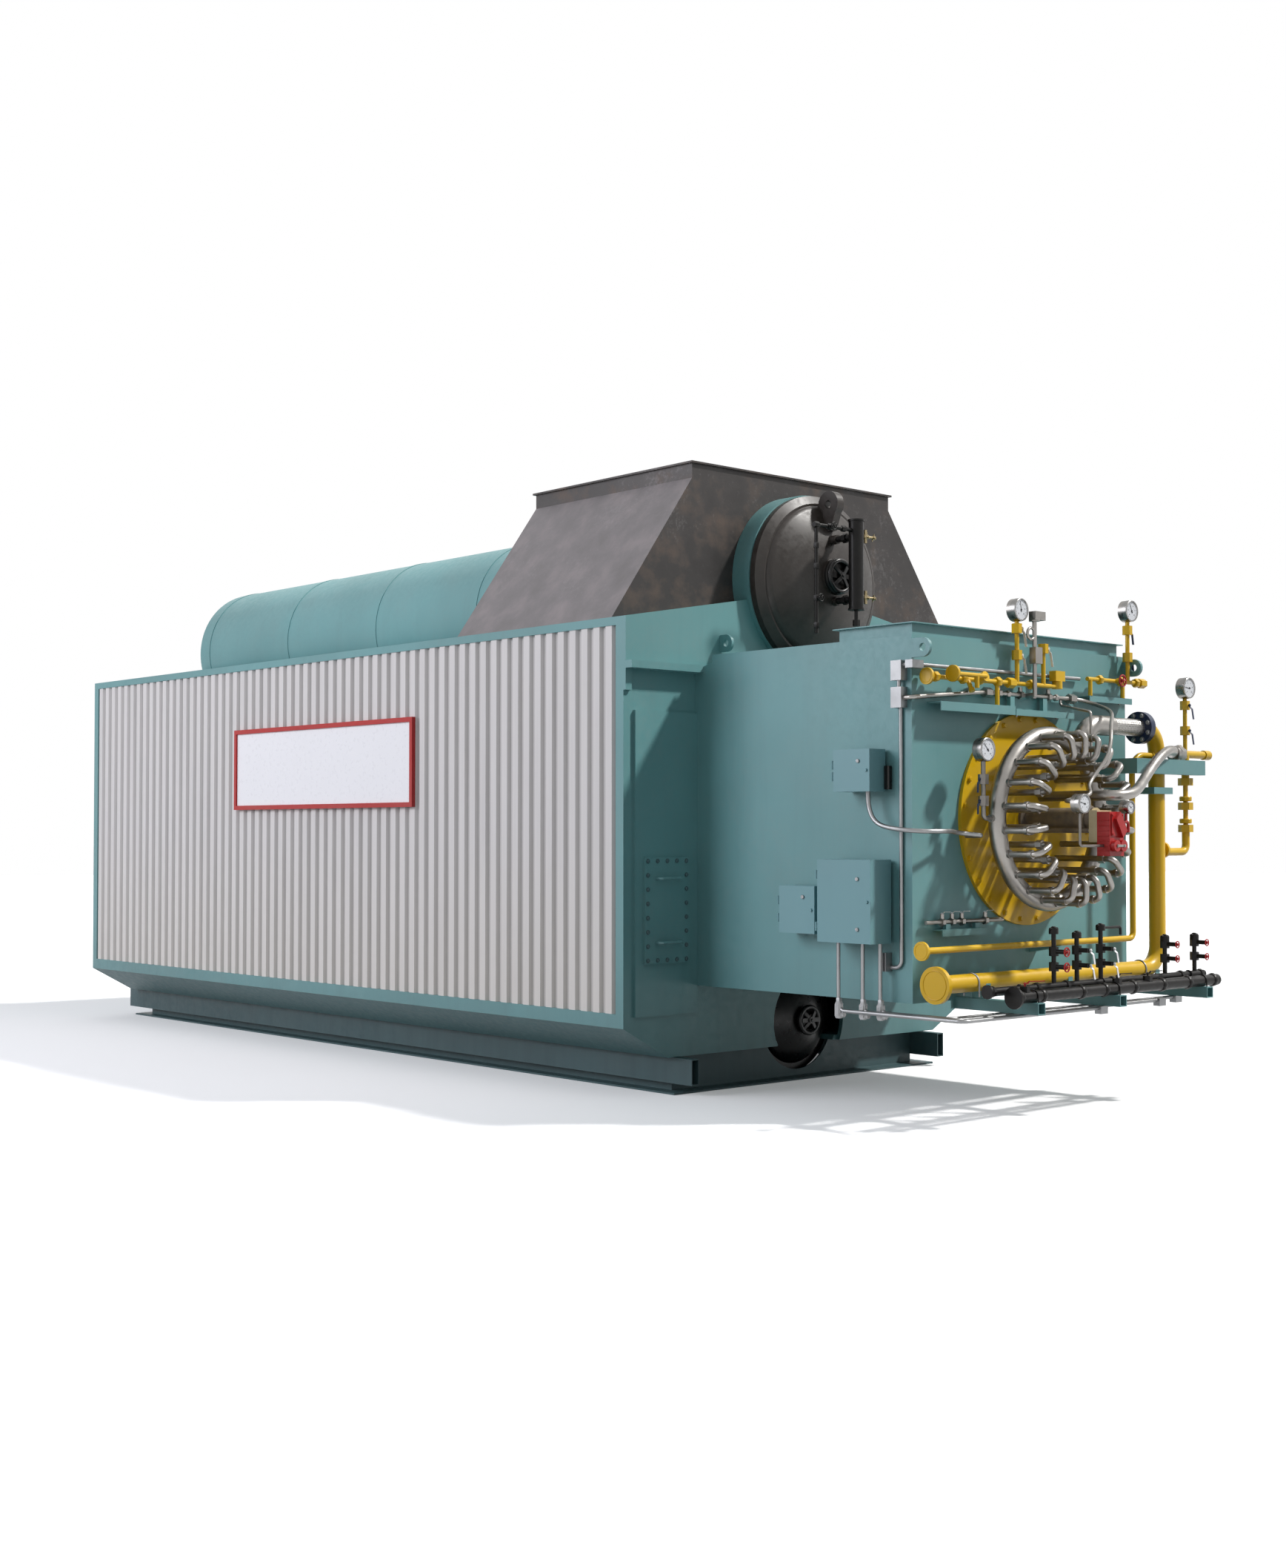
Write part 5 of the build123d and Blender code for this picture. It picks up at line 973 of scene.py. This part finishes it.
link_z = act_low.z + 0.057
link = Piece()
link.sweep([(x, act_low.y - 0.001, link_z) for x in LINK_X], flat_outline(0.005, 0.012), FRONT)
for x in LINK_X:
    link.bolt((x, act_low.y - 0.002, link_z), FRONT, 0.007)
link.done("actuator_link", stainless)

# Bolt holes in the stack flange
HOLE_INSET = 0.014
HOLE = [(0.008, -0.001), (0.008, 0.0004)]
stack_low, stack_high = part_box("stack_flange")
left = stack_low.x + HOLE_INSET
right = stack_high.x - HOLE_INSET
near = stack_low.y + HOLE_INSET
far = stack_high.y - HOLE_INSET
hole_places = [(x, y) for x in spread(left, right, 13) for y in (near, far)]
hole_places += [(x, y) for y in spread(near, far, 12)[1:-1] for x in (left, right)]
holes = Piece()
for x, y in hole_places:
    holes.lathe((x, y, stack_high.z), UP, HOLE, 16)
holes.done("stack_flange_holes", black)

# Floor: pale where it is seen, and dark for the light that it throws back
FLOOR_HALF = 60
FLOOR_GLOW = 0.20
FLOOR_DARK = (0.16, 0.16, 0.17, 1)
FLOOR_PALE = ((0.80, 0.80, 0.81, 1), (0.84, 0.84, 0.85, 1))
corners = [(x * FLOOR_HALF, y * FLOOR_HALF, 0) for x, y in ((-1, -1), (1, -1), (1, 1), (-1, 1))]
floor_mesh = bpy.data.meshes.new("floor")
floor_mesh.from_pydata(corners, [], [(0, 1, 2, 3)])
floor = bpy.data.objects.new("floor", floor_mesh)
scene.collection.objects.link(floor)
floor_look = Shader("floor_look")
floor_seen = floor_look.seen()
pale = floor_look.mix(floor_look.noise(0.4, detail=2), *FLOOR_PALE)
floor_look.colour(floor_look.mix(floor_seen, FLOOR_DARK, pale))
floor_look.set(Roughness=0.9, Specular_IOR_Level=0.1, Emission_Color=(1, 1, 1, 1))
glow = floor_look.math("MULTIPLY", floor_seen, FLOOR_GLOW)
floor_look.link(glow, floor_look.surface.inputs["Emission Strength"])
floor_mesh.materials.append(floor_look.material)

# Soft sky for the light, brighter overhead, and plain white where it is seen or mirrored
SKY_COLOUR = (0.92, 0.97, 1.0, 1)
SKY_LOW = 0.24
SKY_HIGH = 0.50
world = bpy.data.worlds.new("studio")
scene.world = world
world.use_nodes = True
sky = Nodes(world.node_tree)
sky_place = sky.node("ShaderNodeSeparateXYZ")
sky.link(sky.node("ShaderNodeTexCoord").outputs["Generated"], sky_place.inputs["Vector"])
soft = sky.node("ShaderNodeBackground")
soft.inputs["Color"].default_value = SKY_COLOUR
sky.link(sky.ramp(sky_place.outputs["Z"], -0.1, 1.0, low=SKY_LOW, high=SKY_HIGH), soft.inputs["Strength"])
plain = sky.node("ShaderNodeBackground")
plain.inputs["Color"].default_value = (1, 1, 1, 1)
plain.inputs["Strength"].default_value = 1.0
chosen = sky.node("ShaderNodeMixShader")
sky.link(sky.seen(), chosen.inputs["Fac"])
sky.link(soft.outputs["Background"], chosen.inputs[1])
sky.link(plain.outputs["Background"], chosen.inputs[2])
sky.link(chosen.outputs["Shader"], sky.node("ShaderNodeOutputWorld").inputs["Surface"])


def lamp(name, kind, place, target, energy, colour):
    """Light that points from its place to a target."""
    light = bpy.data.lights.new(name, kind)
    light.energy = energy
    light.color = colour
    made = bpy.data.objects.new(name, light)
    made.location = place
    made.rotation_euler = (Vector(target) - Vector(place)).to_track_quat("-Z", "Y").to_euler()
    scene.collection.objects.link(made)
    return light


# Sun from the right and in front, and a large soft light on the shaded left side
SUN_ANGLE = 4
FILL_SIZE = 9
key = lamp("key", "SUN", (5.0, -4.2, 7.2), (0, 0, 0), energy=4.0, colour=(1.0, 0.98, 0.95))
key.angle = math.radians(SUN_ANGLE)
left_fill = lamp("left_fill", "AREA", (-15, 7, 8), (-1.6, 2, 1.8), energy=1780, colour=(0.92, 0.92, 1.0))
left_fill.size = FILL_SIZE
